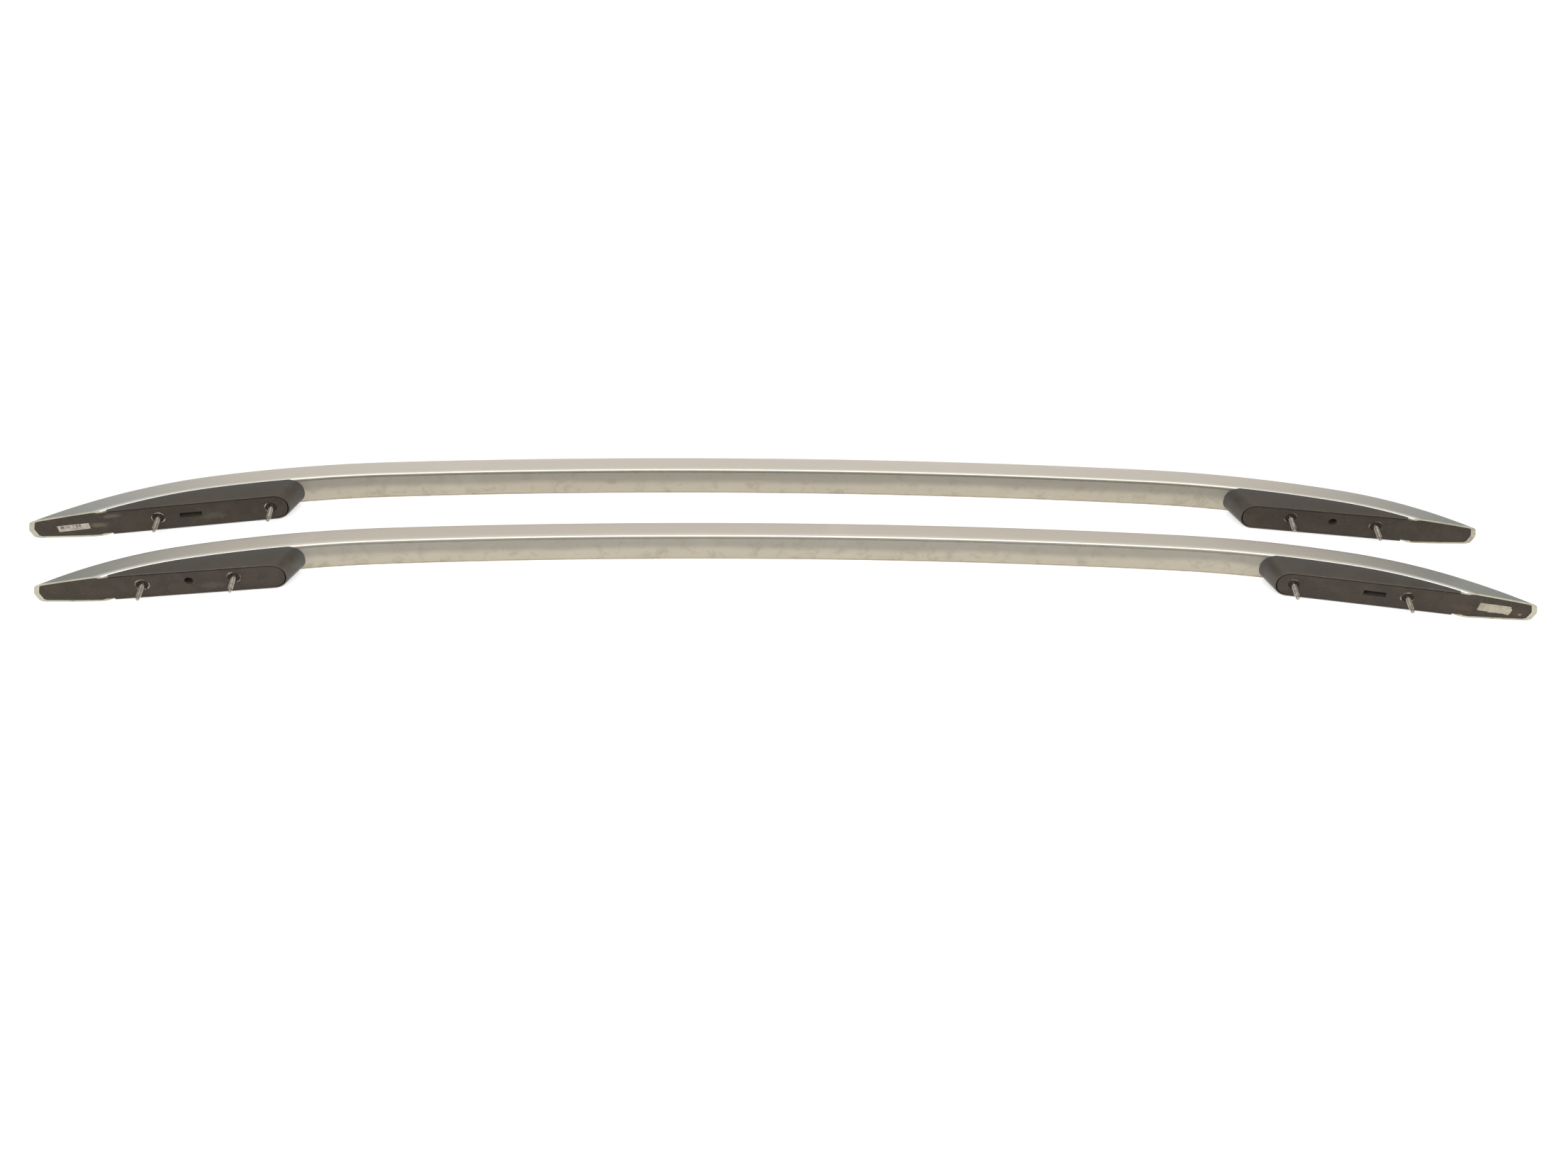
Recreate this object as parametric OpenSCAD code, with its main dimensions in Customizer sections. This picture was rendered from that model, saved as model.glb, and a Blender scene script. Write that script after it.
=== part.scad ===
// Pair of roof side rails for a car, lying on their sides as they come off the roof.
// Each rail is a bent hollow aluminium extrusion on two feet, one with a locating slot and one with a
// locating hole. The two rails are mirror images. Row frame: X along the rails, +Y is up on the car,
// Z is across the rail, and the rails rest on the plane z = 0.

/* [Rail section] */
// Width of the extrusion across the car
rail_w = 42.5; // [38:0.5:52]
// Height of the extrusion from its underside to its crown
rail_h = 34.4; // [33:0.2:42]
// Wall of the extrusion
rail_wall = 2.5; // [1.8:0.1:3.2]
// Radius of the two lower edges
low_edge_r = 4.5; // [3.6:0.1:7]
// Radius of the two upper edges
top_edge_r = 5.5; // [4:0.5:7]
// Radius of the crown
crown_r = 16; // [13:0.5:17]
// How far the crown stands above the upper edges
crown_rise = 1.2; // [0.8:0.1:2]
// How far each side leans in towards the crown
side_lean = 6; // [3:0.1:6.5]

/* [Arch] */
// Bend radius of the long middle stretch
mid_r = 8340; // [6000:10:12000]
// Turn of one half of the middle stretch, in degrees
mid_turn = 3.38; // [2.6:0.01:4]
// Bend radius of the two shoulders
shoulder_r = 1407; // [1100:1:2000]
// Turn of the shoulder at the slot foot, in degrees
slot_shoulder_turn = 8.76; // [7.5:0.01:10]
// Turn of the shoulder at the hole foot, in degrees
hole_shoulder_turn = 9.98; // [8.5:0.01:11]
// Bend radius of the end at the slot foot
slot_end_r = 565; // [520:1:620]
// Bend radius of the end at the hole foot
hole_end_r = 445; // [420:1:480]
// Turn of the slot end from the shoulder to where the underside meets the roof, in degrees
slot_notch_turn = 13.7; // [12.6:0.1:14.6]
// Turn of the hole end from the shoulder to where the underside meets the roof, in degrees
hole_notch_turn = 11.4; // [10.8:0.1:12.4]
// Turn of both ends past that point, well beyond the tip, in degrees
tip_turn = 15; // [13:0.5:18]

/* [Feet] */
// Slope of the roof under the slot foot, in degrees
slot_slope = 8.8; // [6:0.1:9.6]
// Slope of the roof under the hole foot, in degrees
hole_slope = 6.6; // [4:0.1:8]
// Reach of the slot foot's base pad in from the point where the underside meets the roof
slot_pad_reach = 220.5; // [200:0.5:240]
// Reach of the hole foot's base pad in from the point where the underside meets the roof
hole_pad_reach = 208; // [196:0.5:236]
// Width of the base pads
pad_w = 34.4; // [30:0.2:35]
// Thickness of the base pads
pad_t = 3; // [2.4:0.1:4]
// Corner radius of the pads' inner ends
pad_end_r = 15.5; // [6:0.5:15.5]
// Visible gap between pad and cover
pad_gap = 1.1; // [0.6:0.1:1.4]
// Lip of the cover around the pad
cover_lip = 1.8; // [1.4:0.1:2.4]
// Wall of the cover at the rail
cover_wall = 2.2; // [1.6:0.1:3]
// How far the cover's side stands back from the rail's side
cover_inset = 0.8; // [0.4:0.1:1.6]
// Lean of the cover's nose from the upright, in degrees
nose_lean = 35; // [20:1:45]
// Gap between the tip end of the cover and the point where the underside meets the roof
cover_start = 15; // [12:1:24]

/* [Brackets] */
// Thickness of the bracket plate
plate_t = 5; // [4:0.2:6]
// Width of the bracket plate
plate_w = 26; // [24:0.5:28]
// Reach of the bracket plate into the hollow tip
tongue_reach = 60; // [40:1:70]
// Distance from the pad's inner end to the bracket's inner end
plate_end_gap = 12; // [8:1:20]
// Thickness of the bracket's two ribs
rib_t = 2.6; // [2:0.1:3.2]
// Diameter of the stud bosses
stud_boss_d = 15; // [12:0.5:17]
// Diameter of the screw bosses
screw_boss_d = 13; // [11.5:0.5:14]

/* [Studs] */
// Thread diameter of the studs
stud_d = 6; // [5:0.5:8]
// Length of stud below the base pad
stud_out = 25; // [18:0.5:32]
// Grip of the stud inside its boss
stud_grip = 6; // [5:0.5:6.5]
// Diameter of the pilot point
pilot_d = 4.4; // [3:0.2:4.8]
// Length of the pilot point
pilot_len = 4.5; // [2:0.5:7]
// Diameter of the unthreaded neck between the free thread and the grip
stud_neck_d = 5.2; // [4.6:0.1:5.6]
// Length of that neck below the base pad
stud_neck = 2; // [1.5:0.5:4]
// Place of the slot foot's outer stud along the pad
slot_outer_u = 62; // [58:0.5:66]
// Distance of the slot foot's inner stud from the pad's inner end
slot_inner_back = 19.5; // [18:0.5:26]
// Place of the hole foot's outer stud along the pad
hole_outer_u = 39.5; // [38:0.5:44]
// Distance of the hole foot's inner stud from the pad's inner end
hole_inner_back = 60; // [54:0.5:66]
// How far both studs and the slot of the slot foot stand off the middle of the rail
slot_off = 1; // [0:0.5:5]
// How far the hole foot's outer stud stands off the middle of the rail
hole_outer_off = 2; // [0:0.5:5]
// How far the hole foot's inner stud stands off the middle of the rail
hole_inner_off = 4; // [0:0.5:5]
// Diameter of the holes in the pads round the studs
seal_hole_d = 14; // [12:0.5:15]
// Bore of the sealing rings
seal_bore_d = 7; // [6.6:0.2:8.4]
// Thickness of the sealing rings
seal_t = 1.8; // [1:0.1:2.4]

/* [Locators and screws] */
// Place of the locating slot along the pad
locator_slot_u = 102; // [98:0.5:108]
// Length of the locating slot
locator_slot_len = 26.5; // [20:0.5:30]
// Width of the locating slot
locator_slot_w = 6.8; // [5:0.2:8]
// Place of the locating hole along the pad
locator_hole_u = 94.5; // [88:0.5:100]
// Diameter of the locating hole
locator_hole_d = 10; // [8:0.2:11]
// How far the locating hole stands off the middle of the rail
locator_hole_off = 3; // [0:0.5:5]
// Extra width all round where a locator passes the pad
locator_ease = 0.4; // [0.2:0.1:0.8]
// Shank diameter of the screws that hold bracket and rail together
screw_d = 5; // [4:0.2:5.4]
// Head diameter of those screws
screw_head_d = 9.6; // [8:0.2:10]
// Height of the screw heads
screw_head_h = 3.2; // [2.4:0.1:3.6]

/* [The pair] */
// Distance between the two rails as they lie
rail_pitch = 123; // [110:1:200]
// How far the two rails are shifted against each other
stagger = 16; // [0:1:40]
// Clearance between parts that seat on each other
fit = 0.25; // [0.1:0.05:0.35]
// Play all round between a stud and its boss
thread_play = 0.1; // [0.05:0.05:0.2]

/* [Hidden] */

// Steps round a bend and round a small circle
bend_fn = 720;
round_fn = 48;
hull_fn = 32;
// A cut or a blank reaches past what it cuts by this much
past = 1;
// Height above the roof of the blank that becomes a cover, ribs and bosses under the rail
foot_blank_h = 34;
// A cutter of the shoulder is this much fuller than the next one, which runs into it by the overlap
cutter_step = 0.02;
cutter_overlap = 1;
// Steps of the rail's sweep along one half of the middle, along a shoulder and along an end
sweep_steps = [6, 8, 15];
// Steps round the five circles of its section: lower edge, upper edge, crown, upper edge, lower edge
section_steps = [5, 4, 4, 4, 5];
// The pad and the bracket plate start this far outside the point where the underside meets the roof
seat_start = 14;
// The milled pocket in the rail's underside ends this far inside that point
pocket_end = 34;
// Radius of small machined corners
nick_r = 1;
// A screw's point reaches this far past the rail's inner face
screw_point = 4;
// Height of the rim round the locating hole, above the bracket's plate
locator_boss_h = 2;

// Index of the slot foot and of the hole foot in the lists below
SLOT = 0;
HOLE = 1;
FEET = [SLOT, HOLE];
shoulder_turn = [slot_shoulder_turn, hole_shoulder_turn];
end_r = [slot_end_r, hole_end_r];
notch_turn = [slot_notch_turn, hole_notch_turn];
slope = [slot_slope, hole_slope];
pad_reach = [slot_pad_reach, hole_pad_reach];
// Places of the studs along the pad, and how far they stand off the middle
outer_u = [slot_outer_u, hole_outer_u];
inner_u = [slot_pad_reach - slot_inner_back, hole_pad_reach - hole_inner_back];
outer_off = [slot_off, hole_outer_off];
inner_off = [slot_off, hole_inner_off];
// Each screw is halfway between the studs, the locators and the bracket's inner end beside it
slot_ends = [for (s = [-1, 1]) locator_slot_u + s * locator_slot_len / 2];
screw_u = [
    [(outer_u[SLOT] + slot_ends[0]) / 2, (slot_ends[1] + inner_u[SLOT]) / 2],
    [(outer_u[HOLE] + locator_hole_u) / 2, (inner_u[HOLE] + hole_pad_reach - plate_end_gap) / 2]
];
// Blanks that reach past the end of the sweep
blank_len = (max(end_r) + rail_h) * tip_turn * PI / 180;

mid_z = rail_w / 2;
cover_gap_w = pad_w + 2 * pad_gap;
cover_base_w = cover_gap_w + 2 * cover_lip;
cover_top_w = rail_w - 2 * cover_inset;
seal_v = pad_t - seal_t;

// A unit vector at this angle from the upright, leaning outwards
function out(a) = [sin(a), cos(a)];

// The underside is three arcs that meet in common tangents. Headings at the ends of the arcs
shoulder_a = [for (e = FEET) mid_turn + shoulder_turn[e]];
notch_a = [for (e = FEET) shoulder_a[e] + notch_turn[e]];

// Centres of the three arcs, each on the line from the last centre through the joint of the arcs
mid_c = [0, -mid_r];
shoulder_c = mid_c + (mid_r - shoulder_r) * out(mid_turn);
end_c = [for (e = FEET) shoulder_c + (shoulder_r - end_r[e]) * out(shoulder_a[e])];
// The notch is where the underside meets the roof
notch = [for (e = FEET) end_c[e] + end_r[e] * out(notch_a[e])];

// Height of an arc's underside at the distance x from the rail's middle
function arc_y(c, r, x) = c[1] + sqrt(r * r - (x - c[0]) * (x - c[0]));
function under_y(e, x) =
    x < mid_r * sin(mid_turn) ? arc_y(mid_c, mid_r, x)
    : x < shoulder_c[0] + shoulder_r * sin(shoulder_a[e]) ? arc_y(shoulder_c, shoulder_r, x)
    : arc_y(end_c[e], end_r[e], x);
// Upright distance from the base plane to the underside over the point u of the base plane
function rise(e, u) =
    under_y(e, notch[e][0] - u * cos(slope[e])) - notch[e][1] - u * sin(slope[e]);

// Lowest point of a foot: the tip of its outer stud
function stud_tip_y(e) = notch[e][1] + outer_u[e] * sin(slope[e]) - stud_out;
low_y = min(stud_tip_y(SLOT), stud_tip_y(HOLE));
// The pair is centred on the origin
back_y = rail_pitch / 2 - (rail_h + low_y) / 2;
front_y = back_y - rail_pitch;

// Angle of the normal that two circles [x, y, r] share, on the right of the way from a to b
function tangent_turn(a, b) =
    let (d = [b[0] - a[0], b[1] - a[1]])
    atan2(d[1], d[0]) - 90 + asin((a[2] - b[2]) / norm(d));
// Point of the circle c at the angle t
function on_circle(c, t) = [c[0] + c[2] * cos(t), c[1] + c[2] * sin(t)];
function tangent_pair(a, b) =
    let (t = tangent_turn(a, b))
    [on_circle(a, t), on_circle(b, t)];
// Points round a ring of circles, with this many steps on each circle's arc
function ring_points(ring, steps) =
    let (count = len(ring))
    [
        for (i = [0 : count - 1])
            let (
                from = tangent_turn(ring[(i + count - 1) % count], ring[i]),
                turn = (tangent_turn(ring[i], ring[(i + 1) % count]) - from + 720) % 360
            )
            for (k = [0 : steps[i]])
                on_circle(ring[i], from + turn * k / steps[i])
    ];

// Outline round a ring of circles [x, y, r] that are listed anticlockwise, with straight tangents
module ring_outline(ring, fn) {
    count = len(ring);
    polygon([for (i = [0 : count - 1]) each tangent_pair(ring[i], ring[(i + 1) % count])]);
    for (c = ring)
        translate([c[0], c[1]])
            circle(r = c[2], $fn = fn);
}

// Circles of the rail's section, x up from the underside and y across, anticlockwise, grown by g
top_x = rail_h - crown_rise - top_edge_r;
function rail_ring(g) = [
    [low_edge_r, low_edge_r, low_edge_r + g],
    [top_x, side_lean + top_edge_r, top_edge_r + g],
    [rail_h - crown_r, mid_z, crown_r + g],
    [top_x, rail_w - side_lean - top_edge_r, top_edge_r + g],
    [low_edge_r, rail_w - low_edge_r, low_edge_r + g]
];

// Stations of one half of the rail's sweep: centre and radius of the bend, and heading
function half_stations(e) = [
    for (i = [0 : sweep_steps[0] - 1])
        [mid_c, mid_r, mid_turn * i / sweep_steps[0]],
    for (i = [0 : sweep_steps[1] - 1])
        [shoulder_c, shoulder_r, mid_turn + shoulder_turn[e] * i / sweep_steps[1]],
    for (i = [0 : sweep_steps[2]])
        [end_c[e], end_r[e], shoulder_a[e] + (notch_turn[e] + tip_turn) * i / sweep_steps[2]]
];
// Section points p of one station, with side -1 for the half towards -X
function station_points(s, side, p) = [
    for (q = p)
        let (w = s[0] + (s[1] + q[0]) * out(s[2]))
        [side * w[0], w[1], q[1]]
];

// Bar along one bend: it starts at the origin towards +X and turns down by a, with the section's
// underside on the bend's line
module bend(r, a) {
    translate([0, -r, 0])
        mirror([1, -1, 0])
            rotate_extrude(angle = a, $fn = bend_fn)
                translate([r, 0])
                    children();
}

// Frame at the far end of a bend, and its inverse
module past_bend(r, a) {
    translate([r * sin(a), r * cos(a) - r, 0])
        rotate([0, 0, -a])
            children();
}

module before_bend(r, a) {
    translate([-r * sin(a), r * cos(a) - r, 0])
        rotate([0, 0, a])
            children();
}

// Turns a half that is drawn towards +X to its own end of the rail
module at_end(e) {
    mirror([e == SLOT ? 1 : 0, 0, 0])
        children();
}

// Frame of a foot: x runs in along the base plane from the notch, y stands on the plane, z is across
module foot_frame(e) {
    past_bend(mid_r, mid_turn)
        past_bend(shoulder_r, shoulder_turn[e])
            past_bend(end_r[e], notch_turn[e])
                rotate([0, 0, notch_a[e] - slope[e]])
                    mirror([1, 0, 0])
                        children();
}

// Frame of the rail at the notch, seen from the frame of the foot
module notch_frame(e) {
    mirror([1, 0, 0])
        rotate([0, 0, slope[e] - notch_a[e]])
            children();
}

// The end of the rail as a filled bar in the frame of its foot, grown by g
module filled_end(e, g) {
    notch_frame(e)
        before_bend(end_r[e], notch_turn[e])
            bend(end_r[e], notch_turn[e] + tip_turn)
                polygon(ring_points(rail_ring(g), section_steps));
}

// End and shoulder of the rail as cutters for what stands under it, open above the lower edges
module rail_cutter(e) {
    lap = cutter_overlap / end_r[e] * 180 / PI;
    notch_frame(e) {
        before_bend(end_r[e], notch_turn[e] + lap)
            bend(end_r[e], notch_turn[e] + lap + tip_turn)
                cutter_outline(fit);
        before_bend(end_r[e], notch_turn[e])
            mirror([1, 0, 0])
                bend(shoulder_r, shoulder_turn[e])
                    cutter_outline(fit + cutter_step);
    }
}

module cutter_outline(g) {
    low = low_edge_r + g;
    ring_outline([
        [low_edge_r, low_edge_r, low],
        [2 * foot_blank_h, low_edge_r, low],
        [2 * foot_blank_h, rail_w - low_edge_r, low],
        [low_edge_r, rail_w - low_edge_r, low]
    ], round_fn);
}

// A plate on the base plane from the height v, of thickness t, with its outline in x and z
module plate(v, t) {
    translate([0, v + t, 0])
        rotate([90, 0, 0])
            linear_extrude(t)
                children();
}

// Strip along the foot, centred on the rail, square at its tip end and rounded at its inner end
module strip(u0, u1, w, r, fn = round_fn) {
    ring_outline([
        [u0 + nick_r, mid_z - w / 2 + nick_r, nick_r],
        [u1 - r, mid_z - w / 2 + r, r],
        [u1 - r, mid_z + w / 2 - r, r],
        [u0 + nick_r, mid_z + w / 2 - nick_r, nick_r]
    ], fn);
}

// Upright frame, as the car stands, over the point u of the base plane
module upright(e, u, off) {
    translate([u, 0, mid_z + off])
        rotate([0, 0, -slope[e]])
            rotate([-90, 0, 0])
                children();
}

// Frame square to the base plane over its point u
module square_on(u, off) {
    translate([u, 0, mid_z + off])
        rotate([-90, 0, 0])
            children();
}

// Plate that fills the hollow tip with a little play and runs on as a strip under the rail
module seated_plate(e, v, t, tip, u1, w, r) {
    plate(v, t)
        strip(-seat_start, u1, w, r);
    intersection() {
        plate(v, t)
            translate([-tip, 0])
                square([tip - seat_start + 2 * past, rail_w]);
        filled_end(e, -rail_wall - fit);
    }
}

module stud_places(e) {
    upright(e, outer_u[e], outer_off[e]) children();
    upright(e, inner_u[e], inner_off[e]) children();
}

// Bent hollow extrusion, cut off along both base planes, milled open for the feet and drilled
module rail() {
    color([0.69, 0.67, 0.62])
        difference() {
            rail_sweep();
            for (e = FEET)
                at_end(e) foot_frame(e) rail_cuts(e);
        }
}

// Tube swept along the three bends of both halves, running well past both tips
module rail_sweep() {
    skins = [for (g = [0, -rail_wall]) ring_points(rail_ring(g), section_steps)];
    left = half_stations(SLOT);
    right = half_stations(HOLE);
    count = len(skins[0]);
    stations = len(left) + len(right) - 1;
    inner = stations * count;
    points = [
        for (skin = skins) each [
            for (i = [len(left) - 1 : -1 : 1]) each station_points(left[i], -1, skin),
            for (s = right) each station_points(s, 1, skin)
        ]
    ];
    last = inner - count;
    faces = [
        for (j = [0 : count - 1])
            let (k = (j + 1) % count) each [
                for (i = [0 : stations - 2])
                    let (a = i * count, b = a + count) each [
                        [a + j, a + k, b + k, b + j],
                        [inner + b + j, inner + b + k, inner + a + k, inner + a + j]
                    ],
                [j, inner + j, inner + k, k],
                [last + k, inner + last + k, inner + last + j, last + j]
            ]
    ];
    polyhedron(points, faces);
}

module rail_cuts(e) {
    // everything below the roof
    translate([-blank_len, -blank_len, -past])
        cube([blank_len + pad_reach[e], blank_len, rail_w + 2 * past]);
    // pockets for the pad and the bracket plate
    plate(-past, pad_t + fit + past)
        strip(-seat_start - fit, pocket_end, pad_w + 2 * fit, nick_r);
    plate(0, pad_t + plate_t + fit)
        strip(-seat_start - fit, pocket_end, plate_w + 2 * fit, nick_r);
    // screw holes in the lower wall
    for (u = screw_u[e])
        upright(e, u, 0)
            cylinder(h = rise(e, u) + rail_wall + screw_point + past, d = screw_d, $fn = round_fn);
}

// Blank of the cover: a hull from the outline at the roof to the wider one at the rail
module cover_blank(v0, v1, u0, w0, w1, reach, r) {
    step = 0.01;
    hull() {
        plate(v0, step)
            strip(u0, reach + v0 * tan(nose_lean), w0 + (w1 - w0) * v0 / foot_blank_h, r, hull_fn);
        plate(v1 - step, step)
            strip(u0, reach + v1 * tan(nose_lean), w0 + (w1 - w0) * v1 / foot_blank_h, r, hull_fn);
    }
}

// Moulded foot cover: a shell with a slanted round nose, fitted to the underside of the rail
module cover(e) {
    lip = pad_gap + cover_lip;
    color([0.29, 0.27, 0.24])
        difference() {
            cover_blank(0, foot_blank_h, cover_start, cover_base_w, cover_top_w,
                pad_reach[e] + lip, pad_end_r + lip);
            cover_blank(-past, foot_blank_h + past, cover_start - past, cover_gap_w,
                cover_top_w - 2 * cover_wall, pad_reach[e] + pad_gap, pad_end_r + pad_gap);
            rail_cutter(e);
        }
}

// Base pad that lies on the roof, with holes round the studs and at the locator
module pad(e) {
    color([0.26, 0.23, 0.19])
        difference() {
            seated_plate(e, 0, pad_t, blank_len, pad_reach[e], pad_w, pad_end_r);
            for (s = [[outer_u[e], outer_off[e]], [inner_u[e], inner_off[e]]])
                square_on(s[0], s[1])
                    translate([0, 0, -past])
                        cylinder(h = pad_t + 2 * past, d = seal_hole_d, $fn = round_fn);
            locator_cut(e, locator_ease);
        }
}

// The slot of one foot or the round hole of the other, widened by ease
module locator_cut(e, ease) {
    if (e == SLOT)
        plate(-past, pad_t + plate_t + 2 * past)
            translate([locator_slot_u, mid_z + slot_off])
                square([locator_slot_len + 2 * ease, locator_slot_w + 2 * ease], center = true);
    else
        square_on(locator_hole_u, locator_hole_off)
            translate([0, 0, -past])
                cylinder(h = foot_blank_h, d = locator_hole_d + 2 * ease, $fn = round_fn);
}

// Ribs and bosses of the bracket, up to the underside of the rail
module bracket_uprights(e) {
    boss_h = foot_blank_h - pad_t;
    rib_end = pad_reach[e] - plate_end_gap - plate_w / 3;
    difference() {
        union() {
            for (s = [-1, 1])
                translate([pocket_end, pad_t + past, mid_z + s * (plate_w - rib_t) / 2 - rib_t / 2])
                    cube([rib_end - pocket_end, boss_h, rib_t]);
            stud_places(e)
                translate([0, 0, pad_t + plate_t / 2])
                    cylinder(h = boss_h, d = stud_boss_d, $fn = round_fn);
            for (u = screw_u[e])
                upright(e, u, 0)
                    translate([0, 0, pad_t + plate_t / 2])
                        cylinder(h = boss_h, d = screw_boss_d, $fn = round_fn);
        }
        rail_cutter(e);
    }
}

// Die-cast bracket between pad and rail: plate, two ribs and the bosses for studs and screws
module bracket(e) {
    color([0.62, 0.62, 0.6])
        difference() {
            union() {
                seated_plate(e, pad_t, plate_t, tongue_reach, pad_reach[e] - plate_end_gap, plate_w,
                    plate_w / 3);
                bracket_uprights(e);
                if (e == HOLE)
                    square_on(locator_hole_u, locator_hole_off)
                        translate([0, 0, pad_t + plate_t / 2])
                            cylinder(h = plate_t / 2 + locator_boss_h, d = stud_boss_d, $fn = round_fn);
            }
            stud_places(e)
                cylinder(h = pad_t + stud_grip + past, d = stud_d + 2 * thread_play, $fn = round_fn);
            for (u = screw_u[e])
                upright(e, u, 0) {
                    cylinder(h = foot_blank_h + past, d = screw_d + 2 * fit, $fn = round_fn);
                    cylinder(h = pad_t + screw_head_h + past, d = screw_head_d + 2 * fit, $fn = round_fn);
                }
            locator_cut(e, 0);
        }
}

// Threaded stud with a pilot point and a neck, standing upright through pad and seal
module stud(e, u, off) {
    color([0.69, 0.66, 0.61])
        upright(e, u, off) {
            translate([0, 0, -stud_out])
                cylinder(h = pilot_len, d = pilot_d, $fn = round_fn);
            translate([0, 0, pilot_len - stud_out])
                cylinder(h = stud_out - pilot_len - stud_neck, d = stud_d, $fn = round_fn);
            translate([0, 0, -stud_neck])
                cylinder(h = stud_neck + pad_t, d = stud_neck_d, $fn = round_fn);
            translate([0, 0, pad_t])
                cylinder(h = stud_grip, d = stud_d, $fn = round_fn);
        }
}

// Sealing ring round each stud, held in the pad's hole against the bracket
module seals(e) {
    color([0.1, 0.1, 0.1])
        for (s = [[outer_u[e], outer_off[e]], [inner_u[e], inner_off[e]]])
            square_on(s[0], s[1])
                translate([0, 0, seal_v])
                    difference() {
                        cylinder(h = seal_t, d = seal_hole_d - 2 * fit, $fn = round_fn);
                        translate([0, 0, -past])
                            cylinder(h = seal_t + 2 * past, d = seal_bore_d, $fn = round_fn);
                    }
}

// Screws that hold the bracket to the lower wall of the rail, heads hidden by the pad
module screws(e) {
    seat = pad_t + past;
    color([0.6, 0.6, 0.58])
        for (u = screw_u[e])
            upright(e, u, 0)
                translate([0, 0, seat]) {
                    cylinder(h = screw_head_h, d = screw_head_d, $fn = round_fn);
                    cylinder(h = rise(e, u) + rail_wall + screw_point - seat, d = screw_d, $fn = round_fn);
                }
}

// Places of the two rails as they lie
module back() {
    translate([-stagger / 2, back_y, 0])
        children();
}

module front() {
    translate([stagger / 2, front_y, 0])
        mirror([1, 0, 0])
            children();
}

module foot(e) {
    at_end(e) foot_frame(e) children();
}

back() rail();  // back_rail
back() foot(SLOT) cover(SLOT);  // back_slot_cover
back() foot(SLOT) pad(SLOT);  // back_slot_pad
back() foot(SLOT) bracket(SLOT);  // back_slot_bracket
back() foot(SLOT) stud(SLOT, outer_u[SLOT], outer_off[SLOT]);  // back_slot_outer_stud
back() foot(SLOT) stud(SLOT, inner_u[SLOT], inner_off[SLOT]);  // back_slot_inner_stud
back() foot(SLOT) seals(SLOT);  // back_slot_seals
back() foot(SLOT) screws(SLOT);  // back_slot_screws
back() foot(HOLE) cover(HOLE);  // back_hole_cover
back() foot(HOLE) pad(HOLE);  // back_hole_pad
back() foot(HOLE) bracket(HOLE);  // back_hole_bracket
back() foot(HOLE) stud(HOLE, outer_u[HOLE], outer_off[HOLE]);  // back_hole_outer_stud
back() foot(HOLE) stud(HOLE, inner_u[HOLE], inner_off[HOLE]);  // back_hole_inner_stud
back() foot(HOLE) seals(HOLE);  // back_hole_seals
back() foot(HOLE) screws(HOLE);  // back_hole_screws

front() rail();  // front_rail
front() foot(SLOT) cover(SLOT);  // front_slot_cover
front() foot(SLOT) pad(SLOT);  // front_slot_pad
front() foot(SLOT) bracket(SLOT);  // front_slot_bracket
front() foot(SLOT) stud(SLOT, outer_u[SLOT], outer_off[SLOT]);  // front_slot_outer_stud
front() foot(SLOT) stud(SLOT, inner_u[SLOT], inner_off[SLOT]);  // front_slot_inner_stud
front() foot(SLOT) seals(SLOT);  // front_slot_seals
front() foot(SLOT) screws(SLOT);  // front_slot_screws
front() foot(HOLE) cover(HOLE);  // front_hole_cover
front() foot(HOLE) pad(HOLE);  // front_hole_pad
front() foot(HOLE) bracket(HOLE);  // front_hole_bracket
front() foot(HOLE) stud(HOLE, outer_u[HOLE], outer_off[HOLE]);  // front_hole_outer_stud
front() foot(HOLE) stud(HOLE, inner_u[HOLE], inner_off[HOLE]);  // front_hole_inner_stud
front() foot(HOLE) seals(HOLE);  // front_hole_seals
front() foot(HOLE) screws(HOLE);  // front_hole_screws
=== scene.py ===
"""Looks of the pair of roof side rails: skins, covers, threads, labels and finishes round the CAD frame.

Lengths are in millimetres up to the point where a mesh is made. Each rail has a frame of its own: x
along the rail from its middle towards the hole foot, y up on the car, z across the rail as it lies.
Each foot has one too: u in along its base plane from the point where the rail's underside meets the
roof, v square to that plane, z across.
"""
import math

import bpy
import numpy as np
from mathutils import Matrix


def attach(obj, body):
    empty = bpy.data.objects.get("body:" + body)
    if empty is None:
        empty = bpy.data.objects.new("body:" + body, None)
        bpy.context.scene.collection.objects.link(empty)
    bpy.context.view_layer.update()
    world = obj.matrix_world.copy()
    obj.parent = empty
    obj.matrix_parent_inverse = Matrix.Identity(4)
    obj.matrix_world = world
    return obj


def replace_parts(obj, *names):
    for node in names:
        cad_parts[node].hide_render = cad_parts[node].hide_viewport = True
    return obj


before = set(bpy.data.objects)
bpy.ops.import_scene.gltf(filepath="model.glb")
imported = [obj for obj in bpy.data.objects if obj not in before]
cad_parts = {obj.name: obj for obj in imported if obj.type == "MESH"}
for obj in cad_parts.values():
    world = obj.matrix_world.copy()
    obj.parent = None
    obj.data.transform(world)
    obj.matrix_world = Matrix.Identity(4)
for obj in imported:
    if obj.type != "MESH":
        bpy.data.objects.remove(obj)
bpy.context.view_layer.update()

MM = 0.001

# Section of the extrusion
RAIL_W = 42.5
RAIL_H = 34.4
WALL = 2.5
LOW_EDGE_R = 4.5
TOP_EDGE_R = 5.5
CROWN_R = 16.0
CROWN_RISE = 1.2
SIDE_LEAN = 6.0
MID_Z = RAIL_W / 2

# Bends of the arch, with the turns in degrees
MID_R, MID_TURN = 8340.0, 3.38
SHOULDER_R = 1407.0

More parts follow.
